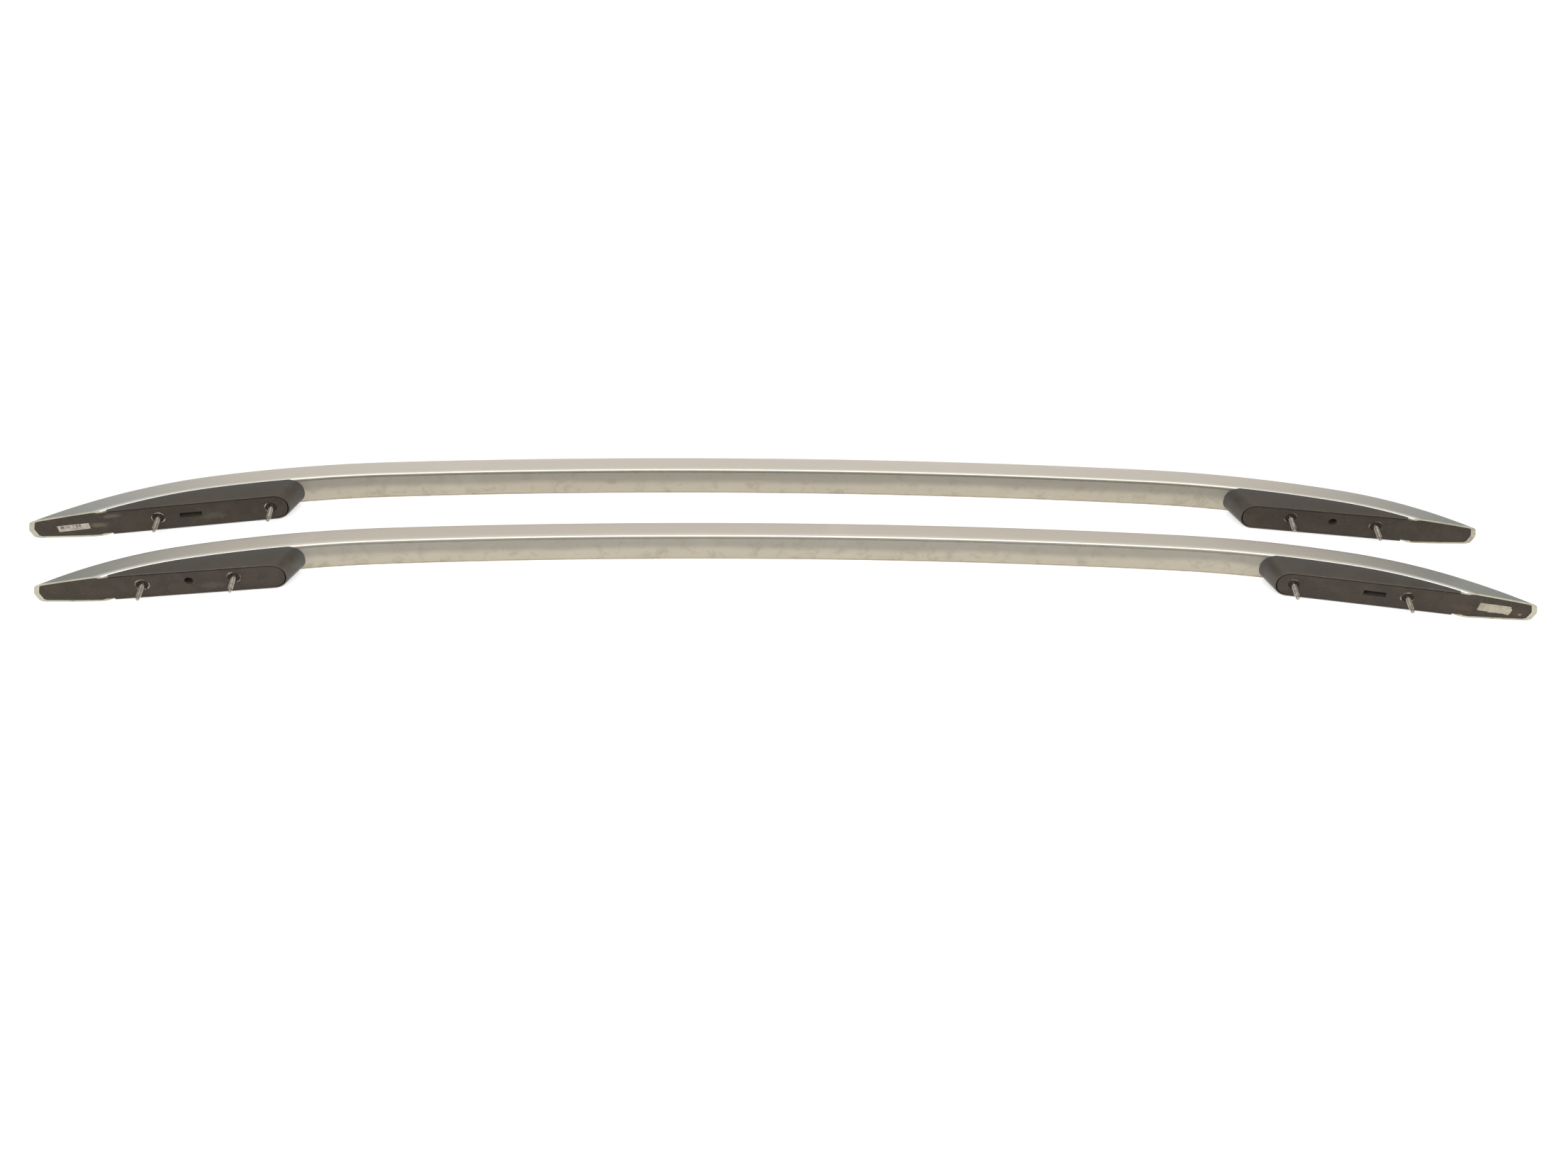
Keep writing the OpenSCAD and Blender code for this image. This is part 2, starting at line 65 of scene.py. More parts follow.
# Pads, covers and studs
PAD_W = 34.4
PAD_T = 3.0
PAD_END_R = 15.5
PAD_GAP = 1.1
COVER_LIP = 1.8
COVER_WALL = 2.2
COVER_INSET = 0.8
NOSE_LEAN = math.radians(35.0)
FIT = 0.25
BLANK_H = 34.0
STUD_R = 3.0
STUD_OUT = 25.0
PILOT_LEN = 4.5
STUD_NECK = 2.0
# Where a cover starts, from the point where the rail's underside meets the roof
COVER_START = 3.0
# Rounding of a cover's lip
COVER_EDGE_R = 0.7
# Height over the base plane at which a cover's inner wall starts
COVER_FOOT_GAP = 0.4

# Range of the random phases, in radians
PHASES = 6.28

# Places of the two rails as they lie
STAGGER = 16.0
RAIL_PITCH = 123.0
BACK_Y = 95.7483


def out(a):
    """Unit vector at the angle a from the upright, leaning towards the end of the rail."""
    return np.stack([np.sin(a), np.cos(a)], axis=-1)


class Foot:
    """One end of a rail, drawn towards +X; side -1 turns it to the slot end."""

    def __init__(self, name, side, shoulder_turn, end_r, notch_turn, slope, reach, studs):
        self.name = name
        self.side = side
        self.end_r = end_r
        self.reach = reach
        self.studs = studs
        self.mid_a = math.radians(MID_TURN)
        self.shoulder_a = self.mid_a + math.radians(shoulder_turn)
        self.notch_a = self.shoulder_a + math.radians(notch_turn)
        self.slope = math.radians(slope)
        self.mid_c = np.array([0.0, -MID_R])
        self.shoulder_c = self.mid_c + (MID_R - SHOULDER_R) * out(self.mid_a)
        self.end_c = self.shoulder_c + (SHOULDER_R - end_r) * out(self.shoulder_a)
        self.notch = self.end_c + end_r * out(self.notch_a)
        self.u_axis = np.array([-math.cos(self.slope), math.sin(self.slope)])
        self.v_axis = np.array([math.sin(self.slope), math.cos(self.slope)])

    def place(self, u, v):
        """Points of the foot's own frame, u in along the base plane and v square to it, in the half."""
        u = np.asarray(u, float)[..., None]
        v = np.asarray(v, float)[..., None]
        return self.notch + u * self.u_axis + v * self.v_axis

    def last_heading(self, h, v):
        """Heading at which the section's points at height h meet the plane at height v."""
        drop = (self.end_c - self.notch) @ self.v_axis
        return self.slope + np.arccos(np.clip((v - drop) / (self.end_r + h), -1.0, 1.0))

    def underside(self, u, grow):
        """Height over the base plane of the rail's underside, moved out by grow, over the point u."""
        v = np.zeros_like(u, dtype=float)
        for _ in range(12):
            p = self.place(u, v)
            on_end = p[..., 0] > (self.end_c + self.end_r * out(self.shoulder_a))[0]
            c = np.where(on_end[..., None], self.end_c, self.shoulder_c)
            r = np.where(on_end, self.end_r, SHOULDER_R) + grow
            y = c[..., 1] + np.sqrt(np.maximum(r * r - (p[..., 0] - c[..., 0]) ** 2, 0.0))
            v = v + (y - p[..., 1]) * math.cos(self.slope)
        return v


SLOT = Foot("slot", -1, 8.76, 565.0, 13.7, 8.8, 220.5, {"outer": (62.0, 1.0), "inner": (201.0, 1.0)})
HOLE = Foot("hole", 1, 9.98, 445.0, 11.4, 6.6, 208.0, {"outer": (39.5, 2.0), "inner": (148.0, 4.0)})
FEET = (SLOT, HOLE)


class Rail:
    """One rail of the pair: the front one is the mirror image of the back one."""

    def __init__(self, name, side, x, y):
        self.name = name
        self.side = side
        self.x = x
        self.y = y

    def world(self, xy, z):
        """Row-frame points in metres from the rail's own x and y and the height z."""
        z = np.broadcast_to(z, xy.shape[:-1])
        return np.stack([self.x + self.side * xy[..., 0], self.y + xy[..., 1], z], axis=-1) * MM

    def foot_world(self, foot, u, v, z):
        """Row-frame points in metres from a foot's own frame."""
        p = foot.place(u, v)
        p = np.stack([p[..., 0] * foot.side, p[..., 1]], axis=-1)
        return self.world(p, z)


BACK = Rail("back", 1, -STAGGER / 2, BACK_Y)
FRONT = Rail("front", -1, STAGGER / 2, BACK_Y - RAIL_PITCH)
RAILS = (BACK, FRONT)


def grid_faces(rows, cols, close_cols=False, start=0):
    """Quads of a grid of rows by cols points, whose columns may close on themselves."""
    r = np.arange(rows - 1)[:, None]
    c = np.arange(cols if close_cols else cols - 1)[None, :]
    a = r * cols + c
    b = r * cols + (c + 1) % cols
    return np.stack([a, b, b + cols, a + cols], axis=-1).reshape(-1, 4) + start


def turned_out(points, quads):
    """Quads whose normals point outwards: their signed volume over the middle of the piece is positive."""
    p = np.asarray(points) - np.mean(points, axis=0)
    a, b, c, d = (p[quads[:, k]] for k in range(4))
    volume = np.sum(np.cross(a, b) * c) + np.sum(np.cross(a, c) * d)
    return quads if volume > 0 else quads[:, ::-1]


def make_piece(name, points, quads, materials, uv=None, sharp=35.0, values=None, second=None):
    """Mesh object at the origin from points in metres and quads, smooth up to the sharp angle.

    values are named numbers, one for each point; second marks the quads of the second material.
    """
    quads = turned_out(points, np.asarray(quads))
    mesh = bpy.data.meshes.new(name)
    mesh.vertices.add(len(points))
    mesh.vertices.foreach_set("co", np.asarray(points, np.float32).ravel())
    mesh.loops.add(quads.size)
    mesh.loops.foreach_set("vertex_index", quads.astype(np.int32).ravel())
    mesh.polygons.add(len(quads))
    mesh.polygons.foreach_set("loop_start", np.arange(0, quads.size, 4, dtype=np.int32))
    mesh.polygons.foreach_set("use_smooth", np.ones(len(quads), bool))
    for material in materials:
        mesh.materials.append(material)
    if second is not None:
        mesh.polygons.foreach_set("material_index", np.asarray(second, np.int32))
    mesh.update(calc_edges=True)
    if uv is not None:
        layer = mesh.uv_layers.new(name="UVMap")
        layer.data.foreach_set("uv", np.asarray(uv, np.float32)[quads.ravel()].ravel())
    for key, numbers in (values or {}).items():
        attribute = mesh.attributes.new(key, "FLOAT", "POINT")
        attribute.data.foreach_set("value", np.asarray(numbers, np.float32).ravel())
    mesh.validate()
    mesh.set_sharp_from_angle(angle=math.radians(sharp))
    piece = bpy.data.objects.new(name, mesh)
    bpy.context.scene.collection.objects.link(piece)
    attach(piece, "root")
    return piece


# The extrusion


def tangent_angle(a, b):
    """Angle of the normal that two circles share, on the right of the way from a to b."""
    d = (b[0] - a[0], b[1] - a[1])
    return math.atan2(d[1], d[0]) - math.pi / 2 + math.asin((a[2] - b[2]) / math.hypot(*d))


def section(grow, steps=(10, 10, 8), jaw=PAD_W / 2 + FIT):
    """Closed outline of the extrusion as heights h and places z, anticlockwise, moved out by grow.

    It runs round five circles with common tangents. The flat sides get points of their own, and two
    points lie together on each side of the pad, at the distance jaw from the middle.
    """
    top = RAIL_H - CROWN_RISE - TOP_EDGE_R
    ring = [
        (LOW_EDGE_R, LOW_EDGE_R, LOW_EDGE_R + grow),
        (top, SIDE_LEAN + TOP_EDGE_R, TOP_EDGE_R + grow),
        (RAIL_H - CROWN_R, MID_Z, CROWN_R + grow),
        (top, RAIL_W - SIDE_LEAN - TOP_EDGE_R, TOP_EDGE_R + grow),
        (LOW_EDGE_R, RAIL_W - LOW_EDGE_R, LOW_EDGE_R + grow),
    ]
    counts = (steps[0], steps[1], steps[2], steps[1], steps[0])
    sides = (6, 3, 3, 6, 0)
    h, z = [], []
    for i, circle in enumerate(ring):
        before, after = ring[i - 1], ring[(i + 1) % len(ring)]
        first = tangent_angle(before, circle)
        last = tangent_angle(circle, after)
        t = first + ((last - first) % (2 * math.pi)) * np.linspace(0.0, 1.0, counts[i] + 1)
        h.append(circle[0] + circle[2] * np.cos(t))
        z.append(circle[1] + circle[2] * np.sin(t))
        share = np.linspace(0.0, 1.0, sides[i] + 2)[1:-1]
        start = (circle[0] + circle[2] * math.cos(last), circle[1] + circle[2] * math.sin(last))
        end = (after[0] + after[2] * math.cos(last), after[1] + after[2] * math.sin(last))
        h.append(start[0] + (end[0] - start[0]) * share)
        z.append(start[1] + (end[1] - start[1]) * share)
    across = np.concatenate([
        [jaw, jaw - 0.02],
        np.linspace(jaw - 1.0, -jaw + 1.0, 9),
        [-jaw + 0.02, -jaw],
    ])
    h.append(np.full(len(across), -grow))
    z.append(MID_Z + across)
    return np.concatenate(h), np.concatenate(z)


def half_skin(foot, h, end_v, counts=(26, 34, 70)):
    """Points of one half's skin in the rail's own x and y, rows by section points.

    Each row is centre + (bend radius + h) * out(heading): even steps on each of the three bends, and on
    the last row each point's own heading where it meets the cut at the height end_v.
    """
    rows = []
    for i in range(counts[0]):
        rows.append((foot.mid_c, MID_R, np.full(len(h), foot.mid_a * i / counts[0])))
    for i in range(counts[1]):
        a = foot.mid_a + (foot.shoulder_a - foot.mid_a) * i / counts[1]
        rows.append((foot.shoulder_c, SHOULDER_R, np.full(len(h), a)))
    last = foot.last_heading(h, end_v)
    for i in range(counts[2] + 1):
        rows.append((foot.end_c, foot.end_r, foot.shoulder_a + (last - foot.shoulder_a) * i / counts[2]))
    xy = np.stack([c + (r + h)[:, None] * out(a) for c, r, a in rows])
    xy[..., 0] *= foot.side
    return xy


def skin(grow):
    """Whole skin from the slot tip to the hole tip, with its z and its section heights.

    The underside within the pad's width ends where the milled pocket starts.
    """
    h, z = section(grow)
    under = (np.abs(z - MID_Z) < PAD_W / 2 + FIT - 0.01) & (h < LOW_EDGE_R)
    end_v = np.where(under, PAD_T + FIT, 0.0)
    left = half_skin(SLOT, h, end_v)[:0:-1]
    right = half_skin(HOLE, h, end_v)
    return np.concatenate([left, right]), z, h


def rail_piece(rail, anodised, sawn):
    """Tube of outer and inner skin, closed at both tips by the sawn edge on the base plane."""
    outer, z, h = skin(0.0)
    inner, z_in, h_in = skin(-WALL)
    rows, cols = outer.shape[:2]
    count = rows * cols
    outside = rail.world(outer, z)
    inside = rail.world(inner, z_in)
    rims = np.concatenate([outside[0], inside[0], outside[-1], inside[-1]])
    rim_height = 20.0
    points = np.concatenate([outside.reshape(-1, 3), inside.reshape(-1, 3), rims])
    c = np.arange(cols)
    d = (c + 1) % cols
    tubes = np.concatenate([grid_faces(rows, cols, True), grid_faces(rows, cols, True, count)[:, ::-1]])
    first = 2 * count
    last = first + 2 * cols
    ends = np.concatenate([
        np.stack([first + c, first + cols + c, first + cols + d, first + d], axis=-1),
        np.stack([last + c, last + d, last + cols + d, last + cols + c], axis=-1),
    ])
    step = np.linalg.norm(np.diff(outer[:, 0], axis=0), axis=-1)
    along = np.concatenate([[0.0], np.cumsum(step)]) * MM
    across = np.concatenate([[0.0], np.cumsum(np.hypot(np.diff(h), np.diff(z)))]) * MM
    uv = np.stack(np.broadcast_arrays(along[:, None], across[None, :]), axis=-1).reshape(-1, 2)
    edge_uv = np.stack([np.tile(across, 4), np.repeat([0.0, WALL * MM, 0.0, WALL * MM], cols)], axis=-1)
    heights = np.concatenate([np.tile(h, rows), np.tile(h_in, rows), np.full(4 * cols, rim_height)])
    return make_piece(
        f"{rail.name}_rail_skin", points, np.concatenate([tubes, ends]), [anodised, sawn],
        uv=np.concatenate([uv, uv, edge_uv]), values={"section_height": heights},
        second=np.repeat([0, 1], [len(tubes), len(ends)]),
    )


# Foot covers


def cover_piece(rail, foot, moulded):
    """Shell of the cover: columns round the outline, rows over a profile of lip, outer and inner wall.

    The outline at each height is two straight sides and a nose of two arcs, which leans out over the
    roof and widens towards the rail. The wall ends on the rail's underside and its rounded lower edge.
    """
    side_u = np.linspace(0.0, 1.0, 90)
    arc = np.linspace(0.0, math.pi / 2, 26)
    n, m = len(side_u), len(arc)
    cols = 2 * (n + m)
    lip = PAD_GAP + COVER_LIP
    base_w = PAD_W + 2 * lip
    top_w = RAIL_W - 2 * COVER_INSET
    r = PAD_END_R + lip

    def outline(v, inset):
        """Points u and z for every column at heights v, one for each column."""
        half = (base_w + (top_w - base_w) * v / BLANK_H) / 2
        end = foot.reach + lip + v * math.tan(NOSE_LEAN)
        u = np.empty_like(v)
        z = np.empty_like(v)
        u[:n] = COVER_START + (end[:n] - r - COVER_START) * side_u
        z[:n] = -(half[:n] - inset)
        low, high = slice(n, n + m), slice(n + m, n + 2 * m)
        u[low] = end[low] - r + (r - inset) * np.sin(arc)
        z[low] = -(half[low] - r) - (r - inset) * np.cos(arc)
        u[high] = end[high] - r + (r - inset) * np.sin(arc[::-1])
        z[high] = (half[high] - r) + (r - inset) * np.cos(arc[::-1])
        u[n + 2 * m:] = COVER_START + (end[n + 2 * m:] - r - COVER_START) * side_u[::-1]
        z[n + 2 * m:] = half[n + 2 * m:] - inset
        return u, z

    def top_height(inset):
        """Height of the rail's underside over the outline, found by going back and forth."""
        v = np.full(cols, 10.0)
        for _ in range(14):
            u, z = outline(v, inset)
            edge = np.clip(np.abs(z) - (RAIL_W / 2 - LOW_EDGE_R), 0.0, LOW_EDGE_R - 0.01)
            lift = LOW_EDGE_R - np.sqrt(LOW_EDGE_R ** 2 - edge ** 2)
            v = foot.underside(u, lift - FIT)
        return v

    rows, rim, rise = [], [], []
    top = top_height(0.0)
    under_lip = (COVER_LIP - 0.4, 1.0)
    for inset in under_lip:
        u, z = outline(np.zeros(cols), inset)
        rows.append((u, np.zeros(cols), z))
        rim.append(0.3)
        rise.append(0.0)
    for t in np.linspace(0.0, math.pi / 2, 6):
        v = np.full(cols, COVER_EDGE_R * (1 - math.cos(t)))
        u, z = outline(v, COVER_EDGE_R * (1 - math.sin(t)))
        rows.append((u, v, z))
        rim.append(1.0 - 0.5 * math.sin(t))
        rise.append(0.0)
    for share in np.linspace(0.0, 1.0, 16)[1:]:
        v = COVER_EDGE_R + (top - COVER_EDGE_R) * share
        u, z = outline(v, 0.0)
        rows.append((u, v, z))
        rim.append(0.0)
        rise.append(share)
    inner_top = top_height(COVER_WALL)
    for share in np.linspace(1.0, 0.0, 8):
        v = COVER_FOOT_GAP + (inner_top - COVER_FOOT_GAP) * share
        u, z = outline(v, COVER_LIP + (COVER_WALL - COVER_LIP) * share)
        rows.append((u, v, z))
        rim.append(0.0)
        rise.append(0.0)
    u = np.stack([row[0] for row in rows])
    v = np.stack([row[1] for row in rows])
    z = np.stack([row[2] for row in rows]) + MID_Z
    points = rail.foot_world(foot, u, v, z).reshape(-1, 3)
    n_rows = len(rows)
    quads = grid_faces(n_rows + 1, cols) % (n_rows * cols)
    ring = np.arange(n_rows) * cols
    i = np.arange(n_rows // 2 - 1)
    cap = np.stack([ring[i], ring[i + 1], ring[n_rows - 2 - i], ring[n_rows - 1 - i]], axis=-1)
    caps = [cap[:, ::-1], cap + cols - 1]
    return make_piece(
        f"{rail.name}_{foot.name}_cover_shell", points, np.concatenate([quads] + caps), [moulded],
        sharp=40.0, values={"rim": np.repeat(rim, cols), "rise": np.repeat(rise, cols)},
    )


# Studs


def stud_piece(rail, foot, place, plated):
    """Threaded stud: its radius over height and turn is a helix of rounded V grooves with a pilot point."""
    u, off = foot.studs[place]
    depth = 0.56
    flank = 2.6
    flat = 0.18
    run_out = 0.9
    run_out_depth = 0.55
    around = 28
    rows_per_mm = 12
    free = STUD_OUT - PILOT_LEN - STUD_NECK
    n = int(free * rows_per_mm) + 1
    w = np.linspace(0.0, free, n)[:, None]
    t = (np.arange(around) / around * 2 * math.pi)[None, :]
    phase = (w - t / (2 * math.pi)) % 1.0
    crest = np.clip(np.abs(phase - 0.5) * flank - flat, 0.0, 1.0)
    ends = np.clip(np.minimum(w, free - w) / run_out, 0.0, 1.0)
    pilot = [
        (0.0, 0.02),
        (0.0, 1.7),
        (0.12, 1.95),
        (0.4, 2.12),
        (PILOT_LEN - 0.4, 2.2),
        (PILOT_LEN - 0.05, 2.25),
    ]
    shank = [(STUD_OUT - STUD_NECK + 0.1, 2.5), (STUD_OUT + PAD_T - 0.1, 2.5)]
    ones = np.ones((1, around))
    heights = np.concatenate(
        [ones * p[0] for p in pilot]
        + [w + PILOT_LEN + 0 * t]
        + [ones * s[0] for s in shank]
    )
    radii = np.concatenate(
        [ones * p[1] for p in pilot]
        + [STUD_R - depth * (1.0 - crest) - (1.0 - ends) * run_out_depth]
        + [ones * s[1] for s in shank]
    )
    groove = np.concatenate([ones * 0.25] * len(pilot) + [1.0 - crest] + [ones * 0.7] * len(shank))
    seat = foot.place(u, 0.0)
    xy = np.stack([seat[0] * foot.side + radii * np.cos(t), seat[1] - STUD_OUT + heights], axis=-1)
    points = rail.world(xy, MID_Z + off + radii * np.sin(t))
    return make_piece(
        f"{rail.name}_{foot.name}_{place}_thread", points.reshape(-1, 3),
        grid_faces(points.shape[0], around, True), [plated], sharp=60.0, values={"groove": groove},
    )


# What is left on the pads


def sealant_piece(rail, foot, place, beads, seed, sealant):
    """Remains of sealant round a stud: bent beads on the pad, each a tube pressed flat.

    A bead runs on a circle round the stud from one angle to another, in degrees. Its thickness is a
    sine over its length, roughened by three more sines, so it closes to a point at both ends.
    """
    u, off = foot.studs[place]
    rng = np.random.default_rng(seed)
    share = np.linspace(0.0, 1.0, 40)[:, None]
    turn = np.linspace(0.0, 2 * math.pi, 12, endpoint=False)[None, :]
    points, quads = [], []
    for start, end, ring_r, thick in beads:
        waves = sum(np.sin(share * k * math.pi + rng.uniform(0, PHASES)) / 3 for k in (5, 9, 17))
        size = thick * np.maximum(np.sin(share * math.pi) ** 0.5, 0.02) * (1.0 + 0.35 * waves)
        t = np.radians(start + (end - start) * share)
        radial = ring_r + 0.4 * waves + 1.5 * size * np.cos(turn)
        v = -0.45 * size * (1.0 + np.sin(turn))
        base = len(points) * share.size * turn.size
        points.append(rail.foot_world(foot, u + radial * np.cos(t), v, MID_Z + off + radial * np.sin(t)))
        quads.append(turned_out(points[-1].reshape(-1, 3), grid_faces(share.size, turn.size, True)) + base)
    points = np.concatenate([p.reshape(-1, 3) for p in points])
    return make_piece(
        f"{rail.name}_{foot.name}_{place}_sealant", points, np.concatenate(quads), [sealant],
        sharp=80.0,
    )


def label_piece(name, rail, foot, corners, ragged, creases, seed, paper):
    """Thin label on the pad: a sheet between four corners (u, z), bilinear in its two parameters.

    ragged moves its long lower edge and its inner end by a sum of sines, creases lift it in ridges
    across its length, and its border drops to the pad. Its faces look away from the pad.
    """
    rng = np.random.default_rng(seed)
    rows, cols = 90, 28
    a = np.linspace(0.0, 1.0, rows)[:, None]
    b = np.linspace(0.0, 1.0, cols)[None, :]
    torn = sum(np.sin(a * k * math.pi + rng.uniform(0, PHASES)) / k for k in (3, 7, 13, 29)) * ragged
    torn_end = sum(np.sin(b * k * math.pi + rng.uniform(0, PHASES)) / k for k in (2, 5, 11)) * ragged
    p00, p10, p11, p01 = (np.array(c, float) for c in corners)
    grid = [
        p00[i] * (1 - a) * (1 - b) + p10[i] * a * (1 - b) + p11[i] * a * b + p01[i] * (1 - a) * b
        for i in (0, 1)
    ]
    u = grid[0] + torn_end * 2.0 * a ** 4
    z = grid[1] - torn * 1.6 * b ** 3
    border = np.minimum(np.minimum(a, 1 - a) * rows, np.minimum(b, 1 - b) * cols)
    lift = 0.14 + creases * (0.5 + 0.5 * np.sin(a * 41.0 + 3.0 * np.sin(b * 4.0 + a * 9.0))) ** 4
    v = -np.where(border < 0.5, 0.01, lift)
    points = rail.foot_world(foot, u, v, z).reshape(-1, 3)
    uv = np.stack(np.broadcast_arrays(a, b), axis=-1).reshape(-1, 2)
    piece = make_piece(name, points, grid_faces(rows, cols), [paper], uv=uv, sharp=80.0)
    polygons = piece.data.polygons
    normals = np.empty(len(polygons) * 3, np.float32)
    polygons.foreach_get("normal", normals)
    away = rail.foot_world(foot, 0.0, -1.0, MID_Z) - rail.foot_world(foot, 0.0, 0.0, MID_Z)
    if normals.reshape(-1, 3).sum(axis=0) @ away < 0:
        piece.data.flip_normals()
    return piece


# Node groups


def socket(group, label, side, kind, value=None):
    """One named socket of a node group."""
    new = group.interface.new_socket(name=label, in_out=side, socket_type=kind)
    if value is not None:
        new.default_value = value


class Nodes:
    """Short way to add and join the nodes of one tree."""

    def __init__(self, tree):
        self.tree = tree

    def add(self, kind, label="", inputs=None, **settings):
        node = self.tree.nodes.new(kind)
        node.label = label
        for key, value in settings.items():
            setattr(node, key, value)
        for key, value in (inputs or {}).items():
            if isinstance(value, bpy.types.NodeSocket):
                self.tree.links.new(value, node.inputs[key])
            else:
                node.inputs[key].default_value = value
        return node

    def mix(self, label, factor, a, b):
        """Colour between a and b by the factor."""
        node = self.add("ShaderNodeMix", label, data_type="RGBA")
        for key, value in ((0, factor), (6, a), (7, b)):
            if isinstance(value, bpy.types.NodeSocket):
                self.tree.links.new(value, node.inputs[key])
            else:
                node.inputs[key].default_value = value if key == 0 else (*value, 1.0)
        return node.outputs[2]

    def ramp(self, label, value, low, high, to_low=0.0, to_high=1.0):
        """Value mapped from the range low..high to another, smooth at both ends."""
        node = self.add("ShaderNodeMapRange", label, {"Value": value, "From Min": low, "From Max": high,
                                                      "To Min": to_low, "To Max": to_high})
        node.interpolation_type = "SMOOTHSTEP"
        return node.outputs["Result"]

    def math(self, label, operation, a, b=0.0, c=0.0):
        """One number out of two, or out of three where the operation takes them."""
        node = self.add("ShaderNodeMath", label, {0: a, 1: b, 2: c}, operation=operation)
        return node.outputs[0]


def new_group(name, inputs, outputs):
    """Empty node group with named sockets."""
    group = bpy.data.node_groups.new(name, "ShaderNodeTree")
    for label, kind, value in inputs:
        socket(group, label, "INPUT", kind, value)
    for label, kind in outputs:
        socket(group, label, "OUTPUT", kind)
    nodes = Nodes(group)
    return group, nodes, nodes.add("NodeGroupInput"), nodes.add("NodeGroupOutput")


FLOAT, VECTOR = "NodeSocketFloat", "NodeSocketVector"


def moulded_grain():
    """Grain of a moulded surface: two noises give light flecks and, as a height, the normal."""
    group, nodes, given, result = new_group(
        "moulded_grain",
        [("Vector", VECTOR, None), ("Scale", FLOAT, 900.0), ("Depth", FLOAT, 0.3)],
        [("Fleck", FLOAT), ("Normal", VECTOR)],
    )
    fine = nodes.add("ShaderNodeTexNoise", "fine grain", {
        "Vector": given.outputs["Vector"], "Scale": given.outputs["Scale"], "Detail": 3.0, "Roughness": 0.65})
    cells = nodes.add("ShaderNodeTexVoronoi", "pits", {
        "Vector": given.outputs["Vector"], "Scale": given.outputs["Scale"]})
    height = nodes.math("grain height", "MULTIPLY_ADD", fine.outputs["Fac"], 0.7, cells.outputs["Distance"])
    bump = nodes.add("ShaderNodeBump", "grain bump", {
        "Strength": given.outputs["Depth"], "Distance": 0.0003, "Height": height})
    fleck = nodes.ramp("light flecks", fine.outputs["Fac"], 0.56, 0.74)
    nodes.tree.links.new(fleck, result.inputs["Fleck"])
    nodes.tree.links.new(bump.outputs["Normal"], result.inputs["Normal"])
    return group


def drawn_lines():
    """Die lines of an extrusion: noise stretched along the first coordinate of the surface map."""
    group, nodes, given, result = new_group(
        "drawn_lines",
        [("Vector", VECTOR, None), ("Fineness", FLOAT, 1600.0), ("Depth", FLOAT, 0.1)],
        [("Line", FLOAT), ("Normal", VECTOR)],
    )
    stretched = nodes.add("ShaderNodeMapping", "stretched along the rail", {
        "Vector": given.outputs["Vector"], "Scale": (0.004, 1.0, 1.0)})
    noise = nodes.add("ShaderNodeTexNoise", "die lines", {
        "Vector": stretched.outputs["Vector"], "Scale": given.outputs["Fineness"], "Detail": 2.0})
    bump = nodes.add("ShaderNodeBump", "line bump", {
        "Strength": given.outputs["Depth"], "Distance": 0.0001, "Height": noise.outputs["Fac"]})
    nodes.tree.links.new(noise.outputs["Fac"], result.inputs["Line"])
    nodes.tree.links.new(bump.outputs["Normal"], result.inputs["Normal"])
    return group


def road_grime():
    """Patches of dirt: a broad noise torn up by a finer one, kept where it passes a threshold."""
    group, nodes, given, result = new_group(
        "road_grime",
        [("Vector", VECTOR, None), ("Scale", FLOAT, 20.0), ("Cover", FLOAT, 0.4)],
        [("Mask", FLOAT)],
    )
    broad = nodes.add("ShaderNodeTexNoise", "broad patches", {
        "Vector": given.outputs["Vector"], "Scale": given.outputs["Scale"], "Detail": 7.0, "Roughness": 0.6,
        "Distortion": 0.6})
    low = nodes.math("threshold", "SUBTRACT", 0.78, given.outputs["Cover"])
    high = nodes.math("upper threshold", "ADD", low, 0.22)
    mask = nodes.ramp("kept patches", broad.outputs["Fac"], 0.0, 1.0)
    nodes.tree.links.new(low, mask.node.inputs["From Min"])
    nodes.tree.links.new(high, mask.node.inputs["From Max"])
    nodes.tree.links.new(mask, result.inputs["Mask"])
    return group


def local_smudge():
    """Smudge round one place: the distance to it, stretched by a size on each axis and frayed by noise."""
    group, nodes, given, result = new_group(
        "local_smudge",
        [("Vector", VECTOR, None), ("Place", VECTOR, None), ("Stretch", VECTOR, None)],
        [("Mask", FLOAT)],
    )
    away = nodes.add("ShaderNodeVectorMath", "way from the place", {
        0: given.outputs["Vector"], 1: given.outputs["Place"]}, operation="SUBTRACT")
    scaled = nodes.add("ShaderNodeVectorMath", "stretched", {
        0: away.outputs[0], 1: given.outputs["Stretch"]}, operation="MULTIPLY")
    length = nodes.add("ShaderNodeVectorMath", "distance", {0: scaled.outputs[0]}, operation="LENGTH")
    noise = nodes.add("ShaderNodeTexNoise", "frayed edge", {
        "Vector": given.outputs["Vector"], "Scale": 160.0, "Detail": 5.0})
    frayed = nodes.math("frayed distance", "ADD", length.outputs["Value"], noise.outputs["Fac"])
    mask = nodes.ramp("smudge", frayed, 0.75, 1.35, 1.0, 0.0)
    nodes.tree.links.new(mask, result.inputs["Mask"])
    return group


GRAIN = moulded_grain()
LINES = drawn_lines()
GRIME = road_grime()
SMUDGE = local_smudge()


# Materials


